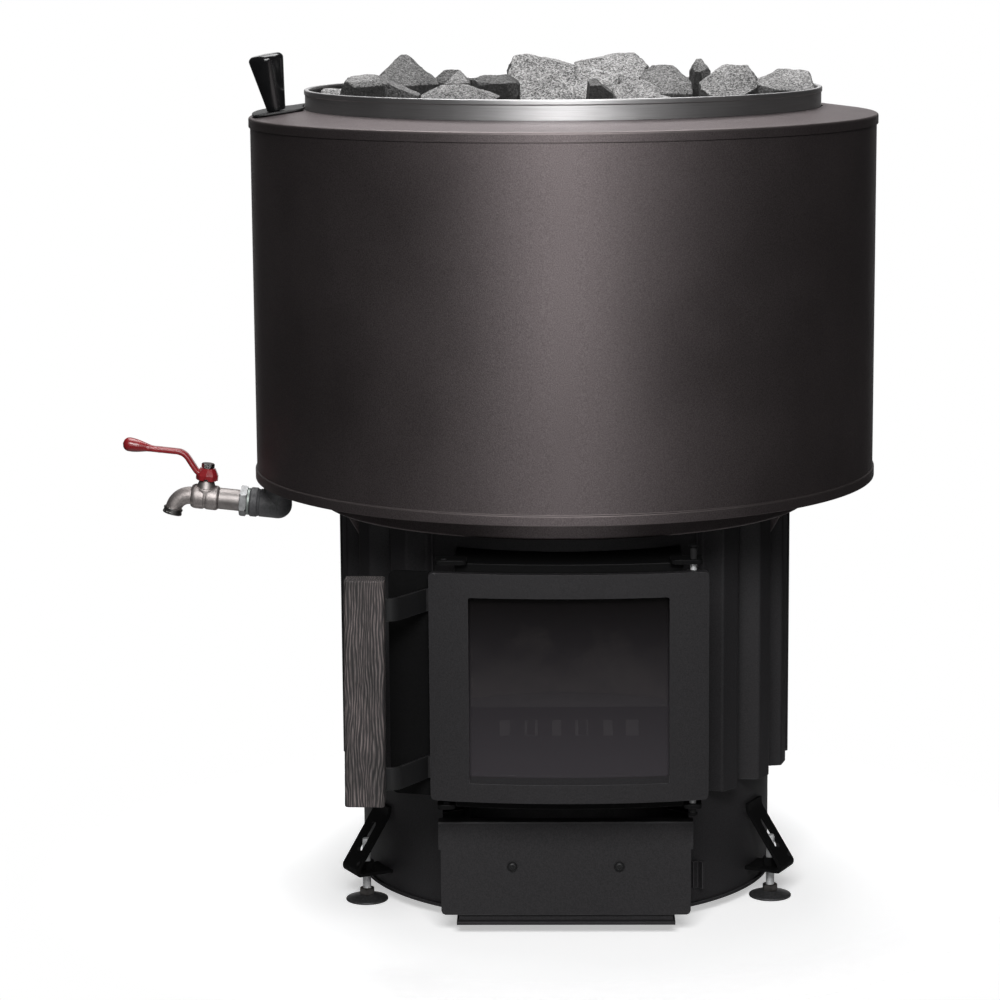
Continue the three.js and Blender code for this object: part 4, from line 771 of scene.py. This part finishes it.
def flue_collar():
    start, end = corners("flue_collar")[0].y, corners("flue_collar")[1].y
    pipe = tube("flue_collar", FLUE_RADIUS - FLUE_WALL, FLUE_RADIUS, start, end, 0.6, FLUE_RING)
    place(pipe, shift(0, 0, FLUE_HEIGHT) @ turn(-90, "X"))
    bore, seat = FLUE_RADIUS + SEAT, FLUE_SEAT
    profile = ((bore, seat), (FLUE_FLANGE, seat), (FLUE_FLANGE, seat + 2.3), (FLUE_FLANGE - 0.7, seat + 3),
               (bore, seat + 3))
    points = []
    for radius, reach in profile:
        for x, z in circle(radius, FLUE_RING):
            points.append((x, sqrt(reach**2 - x**2), FLUE_HEIGHT + z))
    gather(pipe, new_piece("saddle", points, quads(len(profile), FLUE_RING, loop=True)))
    dress(pipe, "black_steel", "flue_collar")


# Door
DOOR = "door"
LEAF = (DOOR_CENTRE - 124, DOOR_CENTRE + 124)
PANE = (DOOR_CENTRE - 89, DOOR_CENTRE + 89, DOOR_BOTTOM + 22, DOOR_TOP - 21.5)


def flat_plate(name, outline, outer, inner):
    return prism(name, outline, -outer, -inner, "y")


def door_leaf():
    leaf = flat_plate("door_leaf", rectangle(*LEAF, DOOR_BOTTOM, DOOR_TOP, 4.5, 6), DOOR_BOW, LEAF_BACK)
    left, right, bottom, top = PANE
    window = flat_plate("window", rectangle(left, right, bottom, top, 3, 4), DOOR_BOW + 6, LEAF_BACK - 6)
    ledge = prism("ledge", [(-DOOR_BOW - 6, bottom - 5), (-DOOR_BOW, bottom - 5), (-LEAF_BACK, bottom),
                            (-LEAF_BACK, bottom + 20), (-DOOR_BOW - 6, bottom + 20)], left, right, "x")
    carve(leaf, window, ledge)
    soften(leaf, 1.1, 3)
    bow(leaf)
    for low in (DOOR_BOTTOM, DOOR_TOP - 24):
        barrel = tube("barrel", 3.35, 6, low, low + 24, 0.6, SMALL_RING)
        gather(leaf, place(barrel, shift(*PIN, 0)))
    dress(leaf, "black_steel", "door_leaf", body=DOOR)


def door_glass():
    left, right, bottom, top = PANE
    glass = flat_plate("door_glass", rectangle(left - 5, right + 5, bottom - 5, top + 5, 3),
                       LEAF_BACK - SEAT, LEAF_BACK - SEAT - 4)
    bow(soften(glass, 0.5), 4)
    dress(glass, "door_glass", "door_glass", body=DOOR)


def hinge_pins():
    """Zinc pins with heads outside the lugs; the parts outside the lugs are deep black, as painted shade."""
    top, bottom = FRAME_TOP + 2, FRAME_BOTTOM + 2
    for name, inside, outside, head in (
            ("hinge_pin_top", (324, top), (top, 368), (368, 370.5)),
            ("hinge_pin_bottom", (bottom, 164.5), (126, bottom), (123.5, 126))):
        rod = tube(name, 0, PIN_RADIUS, *inside, 0.4, SMALL_RING)
        dress(place(rod, shift(*PIN, 0)), "zinc", name, "bright_zinc")
        # The part outside the lug is deep black: painted shade
        stub = tube(name + "_head", 0, PIN_RADIUS, *outside, 0.1, SMALL_RING)
        gather(stub, tube("cap", 0, PIN_HEAD, *head, 0.9, SMALL_RING))
        dress(place(stub, shift(*PIN, 0)), "zinc", name, "deep_black")


def front_frame():
    """Box frame behind the leaf, its front flange and the four lugs."""
    left, right = DOOR_CENTRE - FRAME_HALF, DOOR_CENTRE + FRAME_HALF
    outside = block("front_frame", (left, right), (-290, -160), (FRAME_BOTTOM, FRAME_TOP))
    inside = block("inside", (left + 3, right - 3), (-300, -150), (FRAME_BOTTOM + 3, FRAME_TOP - 3))
    carve(outside, inside)
    keep(outside, bow_band("band", FRAME_FRONT, 300, 100, 400))
    border = flat_plate("flange", rectangle(left + 1, right - 1, FRAME_BOTTOM + 1, FRAME_TOP - 1, 3),
                        FRAME_FRONT, FRAME_FRONT - 3)
    gap = flat_plate("gap", rectangle(left + 14, right - 14, FRAME_BOTTOM + 20, FRAME_TOP - 20, 3),
                     FRAME_FRONT + 3, FRAME_FRONT - 6)
    bow(carve(border, gap), 4)
    carve(outside, tube("drum_space", 0, BODY_RADIUS + SEAT, 90, 400))
    soften(outside, 0.5)
    for side in (-1, 1):
        for low in (FRAME_BOTTOM, FRAME_TOP):
            root = 90 if low == FRAME_TOP else FRAME_HALF + 0.2
            across = sorted((DOOR_CENTRE + side * root, DOOR_CENTRE + side * 118.5))
            lug = prism("lug", rectangle(*across, -258.5, -235.5, 4, 4), low + 0.02, low + 4)
            spot = (DOOR_CENTRE + side * 110.5, PIN[1])
            hole = prism("hole", circle(3.4, SMALL_RING, spot), low - 5, low + 9)
            gather(outside, soften(carve(lug, hole), 0.4))
    gather(outside, border)
    # Deep black on the frame: painted shade under the tank's overhang
    dress(outside, "black_steel", "front_frame", "deep_black")


def handle():
    low, high = corners("handle_bar")
    bar = prism("handle_bar", rectangle(low.x, high.x, low.y, high.y, 4, 5), low.z, high.z - 3.5)
    middle = (low + high) / 2
    hang = shift(-2.3, 0, 0) @ shift(*middle) @ turn(0.65, "Y") @ shift(*-middle)
    dress(place(soften(bar, 1.6, 3, 60), hang), "dark_ash", "handle_bar", body=DOOR, smooth=40)
    for name in ("handle_strap_top", "handle_strap_bottom"):
        low, high = corners(name)
        inner = LEAF_BACK - SEAT
        tail = [(x, BOW_AXIS - sqrt(inner**2 - (x - DOOR_CENTRE) ** 2)) for x in range(-119, -102, 4)]
        path = [(low.x, low.y), (-148, low.y), (tail[0][0] - 3, tail[0][1] - 0.6), *tail]
        path = fillet(path, [0, 7, 3, 0, 0, 0, 0, 0], 5, closed=False)
        strap = prism(name + "_bent", sheet(path, 3), low.z, high.z)
        leaf_space = bow_band("leaf_space", DOOR_BOW + 1, LEAF_BACK - 0.2, low.z - 5, high.z + 5)
        keep(leaf_space, block("side", (LEAF[0] - 0.3, LEAF[1]), (-300, -190), (low.z - 5, high.z + 5)))
        carve(strap, leaf_space)
        dress(soften(strap, 0.5, 2, 50), "black_steel", name, "satin_black", body=DOOR)


# Ash drawer
DRAWER = "ash_drawer"


def drawer():
    low, high = corners("drawer_front")
    profile = [(low.y, low.z), (low.y + 3, low.z), (low.y + 3, high.z - 2), (high.y, high.z - 2),
               (high.y, high.z), (low.y, high.z)]
    front = prism("drawer_front", fillet(profile, [0.5, 0.5, 0.6, 0.5, 0.5, 1.3], 4), low.x, high.x, "x")
    for side in (-1, 1):
        notch = [(114, low.z - 5), (130, low.z - 5), (130, high.z - 26), (114, high.z - 26)]
        corner = [(110, low.z - 1), (115, low.z - 1), (115, low.z + 4), (113.9, low.z + 4),
                  (112.8, low.z + 1.3), (110, low.z)]
        outlines = [[(side * x, z) for x, z in outline] for outline in (notch, corner)]
        outlines.append(circle(2.85, 32, (side * SCREW[0], SCREW[1])))
        carve(front, *(prism("cutter", outline, low.y - 5, high.y + 5, "y") for outline in outlines))
    soften(front, 0.6, 2, 50)
    dress(front, "black_steel", "drawer_front", body=DRAWER)
    for side, name in ((-1, "drawer_screw_left"), (1, "drawer_screw_right")):
        head = [(0, 0), (4.7, 0), (4.7, 0.9), (3.6, 2.5), (2.6, 3), (0, 3)]
        screw = lathe(name + "_head", fillet(head, [0, 0.2, 0.6, 0.7, 0.4, 0], 4), SMALL_RING)
        carve(screw, prism("key", hexagon(4), 1.2, 6))
        gather(screw, tube("shank", 0, 2.5, -14, 0.3, 0.3, 24))
        place(screw, shift(side * SCREW[0], -215.3, SCREW[1]) @ turn(90, "X"))
        dress(screw, "black_steel", name, "satin_black", body=DRAWER)


# Feet
def threaded_rod(name, radius, low, high, pitch=1.25):
    root = radius - 0.55
    profile = [(0, low)]
    z = low
    while z + pitch <= high - 0.4:
        profile += [(root, z), (root, z + 0.2), (radius, z + pitch / 2), (radius, z + pitch * 0.68)]
        z += pitch
    profile += [(root, z), (radius - 0.7, high), (0, high)]
    return lathe(name, profile, 24)


def foot(side, azimuth):
    matrix = turn(azimuth - 90, "Z")
    stud = shift(FOOT_STUD, 0, 0)
    wall = BODY_RADIUS + SEAT
    knee = wall + 34
    path = [(wall - 8, 27.5), (knee + 1.3, 27.5), (knee + 3, 33.5), (wall + 3, 85), (wall + 3, 92)]
    path = fillet(path, [0, 3.4, 3.4, 6, 0], 5, closed=False)
    strip = prism("foot_bracket_" + side, sheet(path, 3), -16, 16, "y")
    slot = prism("slot", rectangle(-4.8, 4.8, 48, 75, 4.8, 8), BODY_RADIUS, knee + 9, "x")
    hole = prism("hole", circle(2.2, 24, (11, 40)), BODY_RADIUS, knee + 9, "x")
    thread = prism("thread", circle(4.35, 32, (FOOT_STUD, 0)), 20, 60)
    carve(strip, slot, hole, thread, tube("drum_space", 0, wall, 0, 120))
    soften(strip, 0.55, 2, 50)
    gather(strip, place(hex_nut("nut", 13, 30.5, 38.5, 4.35), stud))
    dress(place(strip, matrix), "black_steel", "foot_bracket_" + side, "deep_black")

    disc = fillet([(0, 0), (20, 0), (20, 2), (8.5, 5.6), (0, 5.6)], [0, 1.2, 1.6, 0.4, 0])
    pad = lathe("foot_pad_" + side, disc, DISC_RING)
    hexa = hex_nut("foot_hex_" + side, 13, 5.2, 11.6)
    rod = threaded_rod("foot_rod_" + side, 4, 11, 60)
    for piece, look in ((pad, "foot_steel"), (hexa, "dark_nickel"), (rod, "bright_zinc")):
        dress(place(piece, matrix @ stud), "zinc", "foot_" + side, look, body=side + "_foot")


# Filler lid and knob
def filler_lid():
    lift, thick = 1, 2
    plate = sector("filler_lid", 244.5, 292, -120.4, -77, lambda r: cover_at(r) + lift,
                   lambda r: cover_at(r) + lift + thick, 9)
    soften(plate, 0.6, 2, 50)
    gather(plate, hinge_barrel("lid_knuckle", 4, -6, 6, HINGE_BORE))
    dress(plate, "black_steel", "filler_lid", "satin_black", body="lid")
    dress(hinge_barrel("lid_hinge_pin", 2, -20, 20), "zinc", "lid_hinge_pin")

    profile = [(0, -6), (3, -6), (3, 0), (8.5, 0), (16.5, 49), (13.5, 52.2), (0, 53)]
    knob = lathe("lid_knob", fillet(profile, [0, 0.4, 0, 0.8, 3.2, 6, 0], 8), DISC_RING)
    x, y = polar(269.7, -80.6)
    stand = shift(x, y, cover_at(269.7) + lift + thick + 0.6) @ turn(-170.6, "Z") @ turn(10.5, "Y")
    dress(place(knob, stand), "black_knob", "lid_knob", body="lid", smooth=60)


# Drain tap
TAP = shift(*TAP_CENTRE) @ turn(TAP_TILT, "Y")
PIPE = TAP @ turn(-90, "Y")
STEM = -70.5
STEM_AXIS = TAP @ shift(STEM, 0, 0)
SPOUT_ROOT, SPOUT_BEND, SPOUT_TURN = -84, 16.5, 80


def tap():
    tilt = radians(TAP_TILT)
    up, out = Vector((-sin(tilt), 0, cos(tilt))), Vector((-1, 0, 0))
    elbow = sweep("tap_elbow", [out * 18, out * 17, out * 0.1], [12.6, 13.5, 13.5], PIPE_RING)
    riser = sweep("riser", [up * 0.1, up * 30.8, up * 31.3], [13.5, 13.5, 13.0], PIPE_RING)
    knee = lathe("knee", [polar(13.5, 180 * k / 24) for k in range(25)], PIPE_RING)
    gather(elbow, riser, knee)
    spigot = sweep("spigot", [up * 31.2, up * 39, up * 40], [10.4, 10.4, 9.8])
    cuff = fillet([(7.5, 18), (13.2, 18), (13.2, 19.2), (14.2, 20), (14.2, 26), (13.2, 27), (7.5, 27)],
                  [0, 0.3, 0.3, 0.8, 1, 0.5, 0], 3)
    gather(elbow, spigot, place(lathe("cuff", cuff, PIPE_RING), turn(-90, "Y")))
    dress(place(elbow, TAP), "grey_plastic", "tap_elbow")

    nut = hex_nut("tap_union_nut", 26, 30.2, 36.7, 7.5, 1.2)
    dress(place(nut, PIPE), "zinc", "tap_union_nut")
    washer = tube("union_washer", 7.5, 13, 27.3, 30, 0.5, PIPE_RING)
    dress(place(washer, PIPE), "zinc", "tap_union_nut", "pale_zinc")

    pipe = tube("tap_pipe", 6, 10.3, 37, 57.2, 0.5, PIPE_RING)
    dress(place(pipe, PIPE), "nickel", "tap_body", "satin_nickel")
    barrel = [(6, 57.2), (10.3, 57.2), (11.9, 59), (12, 62), (12, 67.5), (11.7, 69.2), (11.1, 69.8),
              (11.1, 71.2), (11.7, 71.8), (12, 73.5), (12, 78.5), (11.8, 81), (10.2, 84), (6, 84)]
    barrel = fillet(barrel, [0, 0.8, 1.5, 0, 1, 0.6, 0.4, 0.4, 0.6, 1, 0, 1.5, 1.2, 0], 3)
    body = place(lathe("tap_barrel", barrel, 72), PIPE)
    boss = fillet([(3.9, 0), (11, 0), (11, 8), (10.2, 9), (3.9, 9)], [0, 0, 1, 0.8, 0])
    gather(body, place(lathe("boss", boss, PIPE_RING), STEM_AXIS))
    dress(body, "nickel", "tap_body")
    neck = fillet([(3.9, 8.3), (9.6, 8.3), (7, 16.5), (3.9, 16.5)], [0, 0.4, 0.8, 0])
    neck = place(lathe("tap_neck", neck, PIPE_RING), STEM_AXIS)
    dress(neck, "nickel", "tap_body", "satin_nickel")

    path, radii = [], []
    for k in range(25):
        x, z = polar(SPOUT_BEND, SPOUT_TURN * k / 24)
        path.append(Vector((SPOUT_ROOT - x, 0, -SPOUT_BEND - z)))
        radii.append(8.5 - 0.8 * k / 24)
    spout = sweep("tap_spout", path, radii, PIPE_RING)
    dress(place(spout, TAP), "nickel", "tap_body")
    ring = [(6, -0.2), (8.8, -0.2), (9.3, 0.4), (9.3, 1.4), (8.8, 1.8), (8.8, 3.6), (9.3, 4.0), (9.3, 5.4),
            (8.8, 6), (6.4, 6), (6, 5.4)]
    lip = place(lathe("tap_lip", ring, PIPE_RING), TAP @ shift(*path[-1]) @ turn(-90 - SPOUT_TURN, "Y"))
    dress(lip, "nickel", "tap_body", "chrome")
    lever()


def lever():
    hub = [(3.9, 18.3), (8.4, 18.3), (8.4, 16.8), (11, 16.8), (11, 21.4), (10.2, 23.4), (7.6, 28.3),
           (3.9, 28.3)]
    piece = lathe("tap_lever", hub, 10)
    for k in range(5):
        notch = block("notch", (-1.8, 1.8), (6, 14), (15, 18.4))
        carve(piece, place(notch, turn(36 + 72 * k, "Z")))
    soften(piece, 0.55, 3, 20)
    place(piece, shift(STEM, 0, 0))
    low, high = 19.2, 38.6
    thick = 5.8
    path = [(STEM + 2, low), (STEM - 8.7, low), (STEM - 24, high), (STEM - 60, high)]
    spine = fillet([(x, z + thick / 2) for x, z in path], [0, 7, 7, 0], 10, closed=False)
    spine = [Vector((x, 0, z)) for x, z in densify(spine, 1.2)]

    def section(spot, a):
        ripple = 0.18 * noise.noise(Vector((spot.x * 0.25, 0, 0)))
        wide = copysign(abs(cos(a)) ** 0.55, cos(a)) * 5.9
        high = copysign(abs(sin(a)) ** 0.7, sin(a)) * (thick / 2 - 0.15 + ripple)
        return wide, high

    arm = sweep("arm", spine, segments=40, section=section)
    axis = high + thick / 2
    grip_path, grip_radii = [], []
    for k in range(31):
        t = k / 30
        grip_path.append(Vector((STEM - 51 - 32.6 * t, 0, axis + 2.4 * t)))
        swell = 2.4 + 4.4 * sin(min(t / 0.8, 1) * pi / 2) ** 1.6
        end = sqrt(max(0.0, 1 - max(0.0, (t - 0.8) / 0.2) ** 2))
        grip_radii.append(max(0.05, swell * end))
    grip = sweep("grip", grip_path, grip_radii)
    gather(piece, arm, grip)
    dress(place(piece, TAP), "red_paint", "tap_lever", body="tap_handle")

    nut = hex_nut("tap_lever_nut", 11, 28.6, 33, 0, 0.8)
    dome = lathe("dome", fillet([(0, 32), (3.2, 32), (3.2, 33), (0, 33.1)], 0.4), 32)
    gather(nut, dome)
    dress(place(nut, STEM_AXIS), "nickel", "tap_lever_nut", "chrome", body="tap_handle")


def densify(path, step):
    out = []
    for (ax, ay), (bx, by) in zip(path, path[1:]):
        count = max(1, int(hypot(bx - ax, by - ay) / step))
        out += [(ax + (bx - ax) * k / count, ay + (by - ay) * k / count) for k in range(count)]
    return out + [path[-1]]


# Stones
def random_from(state):
    """A run of numbers between two limits that is the same each time."""
    def draw(low=0.0, high=1.0):
        nonlocal state
        state = state * 16807 % 2147483647
        return low + (high - low) * state / 2147483647

    return draw


def rock(name, seed, low, high, fine=0.2, outline=None, lean=None, share=1.0):
    """A split stone that fills the box from low to high: a block cut by flat faces, with rounded edges and
    a rough skin. outline gives its heights at the left and right ends and where its top starts and ends,
    lean the height of its top at the front, all as shares; faces that look up are painted paler, as
    painted light from above, over a random tone of their own."""
    draw = random_from(seed * 7919 + 17)
    for _ in range(9):
        draw()
    work = bmesh.new()
    bmesh.ops.create_cube(work, size=2)
    if outline is None:
        outline = (draw(0.45, 0.8), draw(0.15, 0.45), draw(0.55, 0.8), draw(0.45, 0.8))
    left, start, stop, right = (2 * part - 1 for part in outline)
    front = 2 * (draw(0.45, 0.85) if lean is None else lean) - 1
    planes = [((start, 0, 1), (left - 1, 0, start + 1)), ((stop, 0, 1), (1 - right, 0, 1 - stop)),
              ((0, 0.5, 1), (draw(-0.12, 0.12), front - 1, 1.5))]
    for k in range(12):
        if k < 9:
            way, reach = (draw(-1, 1), draw(0.35, 1) * (-1 if k % 3 else 1), draw(-0.8, 0.9)), (0.66, 0.86)
        else:
            way, reach = (draw(-1, 1), draw(-0.3, 0.3), draw(0.1, 0.6)), (0.78, 0.9)
        way = Vector(way).normalized()
        planes.append((way * (abs(way.x) + abs(way.y) + abs(way.z)) * draw(*reach), way))
    for spot, way in planes:
        whole = work.verts[:] + work.edges[:] + work.faces[:]
        bmesh.ops.bisect_plane(work, geom=whole, dist=1e-5, plane_co=spot, plane_no=way, clear_outer=True)
        open_edges = [edge for edge in work.edges if edge.is_boundary]
        if open_edges:
            bmesh.ops.holes_fill(work, edges=open_edges, sides=0)
    bmesh.ops.remove_doubles(work, verts=work.verts, dist=0.04)
    bmesh.ops.convex_hull(work, input=work.verts)
    bmesh.ops.dissolve_limit(work, angle_limit=radians(3), verts=work.verts, edges=work.edges)
    work.normal_update()
    tone = work.faces.layers.float.new("tone")
    for face in work.faces:
        # Faces that look up are painted paler: painted light from above; the random part is the face's own
        # tone
        up = max(0.0, face.normal.z + 0.25) ** 1.3
        face[tone] = min(1.0, max(0.04, (0.10 + 0.72 * up + draw(-0.14, 0.16)) * share))
    bmesh.ops.bevel(work, geom=work.edges[:], offset=0.022, segments=1, profile=0.6, affect="EDGES",
                    clamp_overlap=True)
    bmesh.ops.triangulate(work, faces=work.faces)
    for _ in range(5):
        long = [edge for edge in work.edges if edge.calc_length() > fine]
        if not long:
            break
        bmesh.ops.subdivide_edges(work, edges=long, cuts=1)
        bmesh.ops.triangulate(work, faces=[f for f in work.faces if len(f.verts) > 3])
    work.normal_update()
    field = Vector((seed * 3.7, seed * 1.3, seed * 2.1))
    for v in work.verts:
        coarse = noise.fractal(v.co * 1.7 + field, 1.0, 2.0, 3)
        grain = noise.fractal(v.co * 8 + field, 0.9, 2.1, 3)
        v.co += v.normal * (coarse * 0.055 + grain * 0.016)
    lows = [min(v.co[k] for v in work.verts) for k in range(3)]
    highs = [max(v.co[k] for v in work.verts) for k in range(3)]
    for v in work.verts:
        v.co = Vector([(low[k] + (v.co[k] - lows[k]) / (highs[k] - lows[k]) * (high[k] - low[k])) * MM
                       for k in range(3)])
    mesh = bpy.data.meshes.new(name)
    work.to_mesh(mesh)
    work.free()
    return link(name, mesh)


# The small stone that stands at the right, and the outline, lean and tone of the twelve on top
WEDGE = ((119, -14, 735), (139, 16, 786))
UPPER_STONES = (
    ((0.66, 0.08, 0.42, 0.62), 0.93, 0.60), ((0.66, 0.36, 0.46, 0.56), 0.55, 0.38),
    ((0.80, 0.25, 0.70, 0.70), 0.70, 0.50), ((0.78, 0.25, 0.60, 0.74), 0.60, 0.72),
    ((0.90, 0.25, 0.80, 0.80), 0.85, 0.26), ((0.73, 0.08, 0.20, 0.66), 0.20, 0.88),
    ((0.86, 0.60, 0.82, 0.80), 0.45, 0.90), ((0.90, 0.15, 0.30, 0.62), 0.90, 0.24),
    ((0.80, 0.30, 0.60, 0.75), 0.45, 0.78), ((0.80, 0.25, 0.65, 0.70), 0.50, 0.55),
    ((0.65, 0.40, 0.85, 0.75), 0.45, 0.85), ((0.74, 0.45, 0.92, 0.62), 0.60, 0.75))


def stones():
    for i, (outline, lean, share) in enumerate(UPPER_STONES):
        node = f"stone_{i + 1:02d}"
        low, high = corners(node)
        piece = rock(node + "_split", 11 + i * 5, low, high, 0.09, outline, lean, share)
        if node == "stone_11":
            gather(piece, rock("wedge", 8, *WEDGE, 0.14, (0.8, 0.35, 0.6, 0.8), 0.8, 0.4))
        dress(piece, "granite", node, smooth=30)
    heap()


def heap():
    """The lower stones, in the rings where the frame has them, with smaller ones in the gaps."""
    low, high = corners("stone_heap")
    inside = POT_RADIUS - POT_WALL
    draw = random_from(7)
    parts = []

    def lay(seed, size, top, spot, spin, fine):
        wide, deep, tall = size
        box = (-wide / 2, -deep / 2, top - tall), (wide / 2, deep / 2, top)
        stone = rock("heap_part", seed + len(parts) * 3, *box, fine)
        parts.append(place(stone, shift(*spot, 0) @ turn(spin, "Z")))

    for share, number, start in ((0, 1, 0), (0.27, 6, 20), (0.54, 10, 8), (0.82, 15, 4)):
        for k in range(number):
            size = [length * draw(0.82, 1.18) for length in (80, 64, 56)]
            top = RIM_TOP - draw(0, 18.15)
            spin = draw(-90, 90)
            lay(101, size, top, polar(share * inside, start + 360 * k / number), spin, 0.16)
    for share, number, start in ((0.14, 4, 10), (0.41, 8, 30), (0.68, 13, 14), (0.93, 22, 9)):
        for k in range(number):
            wide = draw(29, 39)
            top = RIM_TOP - draw(15.5, 24.5)
            spot = polar(share * inside, start + 360 * k / number + draw(-3, 3))
            lay(301, (wide, wide * 0.8, wide * 0.8), top, spot, draw(-180, 180), 0.24)
    piece = gather(*parts)
    piece.name = "stone_heap_top"
    gather(piece, tube("bed", 0, high.x, low.z, BED_TOP, 0, PIPE_RING))
    clamp_to(piece, high.x)
    dress(piece, "granite", "stone_heap", smooth=30)


def clamp_to(piece, radius):
    limit = radius * MM
    for v in piece.data.vertices:
        away = hypot(v.co.x, v.co.y)
        if away > limit:
            v.co.x *= limit / away
            v.co.y *= limit / away


# Inside
def interior():
    repaint("fire_floor", "ash")
    repaint("grate", "cast_iron", 0.8)
    repaint("rear_lining", "fire_board")
    repaint("ember_guard", "deep_black", 0.6)
    repaint("tank_floor", "bronze_coat", 0.2)
    repaint("tank_inner_wall", "stainless", 0.2)
    repaint("pot_floor", "cast_iron")
    repaint("glass_retainer", "satin_black")
    repaint("door_gasket", "gasket_rope", 1.2)
    # Deep black on the shield: painted shade behind the handle
    repaint("handle_shield", "deep_black", 0.5)
    repaint("drawer_tray", "black_steel", 0.5)
    repaint("tap_ball", "nickel", 0.2)


# Studio
PITCH, ROLL, YAW = 10.09, -0.44, -1.19


def camera():
    """The photograph's viewing angle."""
    data = bpy.data.cameras.new("camera")
    data.sensor_width = 36
    data.lens = 113.22
    data.clip_end = 30
    eye = link("camera", data)
    aim = turn(-YAW, "Z") @ turn(90 - PITCH, "X") @ turn(ROLL, "Z")
    eye.matrix_world = Matrix.Translation((0, -2.981, 0.897)) @ aim
    bpy.context.scene.camera = eye


def lamp(name, spot, target, width, height, power):
    data = bpy.data.lights.new(name, "AREA")
    data.shape = "RECTANGLE"
    data.size, data.size_y = width, height
    data.energy = power
    light = link(name, data)
    way = Vector(target) - Vector(spot)
    light.matrix_world = Matrix.Translation(spot) @ way.to_track_quat("-Z", "Y").to_matrix().to_4x4()


WORLD_LEVEL = 0.03
FLOOR_LIFT = 0.46
FLOOR_RADIUS = 4000
WHITE = (1, 1, 1, 1)


def world():
    """White behind the object for the camera, gloss and glass; a dim studio on the other sides."""
    space = bpy.data.worlds.new("studio")
    bpy.context.scene.world = space
    studio = Tree(space)
    sky = studio.tree.nodes["Background"].inputs
    rays = studio.node("ShaderNodeLightPath").outputs
    depth = studio.along("Y", studio.node("ShaderNodeTexCoord").outputs["Generated"])
    behind = studio.spread(depth, 0.90, 0.985, ease="SMOOTHSTEP")
    shiny = studio.math("MAXIMUM", rays["Is Glossy Ray"], rays["Is Transmission Ray"])
    white = studio.math("MAXIMUM", studio.math("MULTIPLY", shiny, behind), rays["Is Camera Ray"])
    studio.feed(sky["Strength"], studio.spread(white, 0.0, 1.0, WORLD_LEVEL))
    studio.feed(sky["Color"], WHITE)


def floor():
    """Pale floor that keeps the shadow and fades into the white background."""
    piece = tube("floor", 0, FLOOR_RADIUS, -4, 0, 0, DISC_RING)
    shader = Shader("floor")
    camera_ray = shader.node("ShaderNodeLightPath").outputs["Is Camera Ray"]
    shader.set(Base_Color=(0.86, 0.86, 0.865, 1), Roughness=0.8, Specular_IOR_Level=0, Emission_Color=WHITE,
               Emission_Strength=shader.math("MULTIPLY", camera_ray, FLOOR_LIFT))
    length = shader.node("ShaderNodeVectorMath", {0: shader.place}, operation="LENGTH").outputs["Value"]
    fade = shader.spread(length, 0.27, 0.52, ease="SMOOTHSTEP")
    spill = shader.spread(length, 0.25, 0.7, 0.4, 1.0)
    seen = shader.node("ShaderNodeMix", {"Factor": camera_ray, 2: spill, 3: fade}).outputs[0]
    clear = shader.node("ShaderNodeBsdfTransparent").outputs[0]
    mix = shader.node("ShaderNodeMixShader", {0: seen, 1: shader.surface.outputs[0], 2: clear})
    shader.feed(shader.tree.nodes["Material Output"].inputs["Surface"], mix.outputs[0])
    piece.data.materials.append(MATERIALS["floor"])


camera()
base_plate()
drum()
rib_panel(-1)
rib_panel(1)
support_collar()
tank()
pot_and_rim()
flue_collar()
front_frame()
door_leaf()
door_glass()
hinge_pins()
handle()
drawer()
foot("left", -61)
foot("right", 64)
foot("rear", 180)
filler_lid()
tap()
stones()
interior()
floor()
world()
lamp("key", (0.0, -2.35, 1.75), (0, 0, 0.42), 1.3, 0.8, 58)
lamp("fill", (0.0, -2.6, 0.55), (0, 0, 0.3), 0.9, 0.5, 8)
lamp("top", (-0.1, 0.45, 2.3), (0, 0, 0.7), 1.4, 1.4, 46)
lamp("firebox", (0.0, 0.0, 0.34), (0, 0.02, 0.13), 0.12, 0.12, 0.9)
bpy.context.scene.view_settings.view_transform = "Standard"
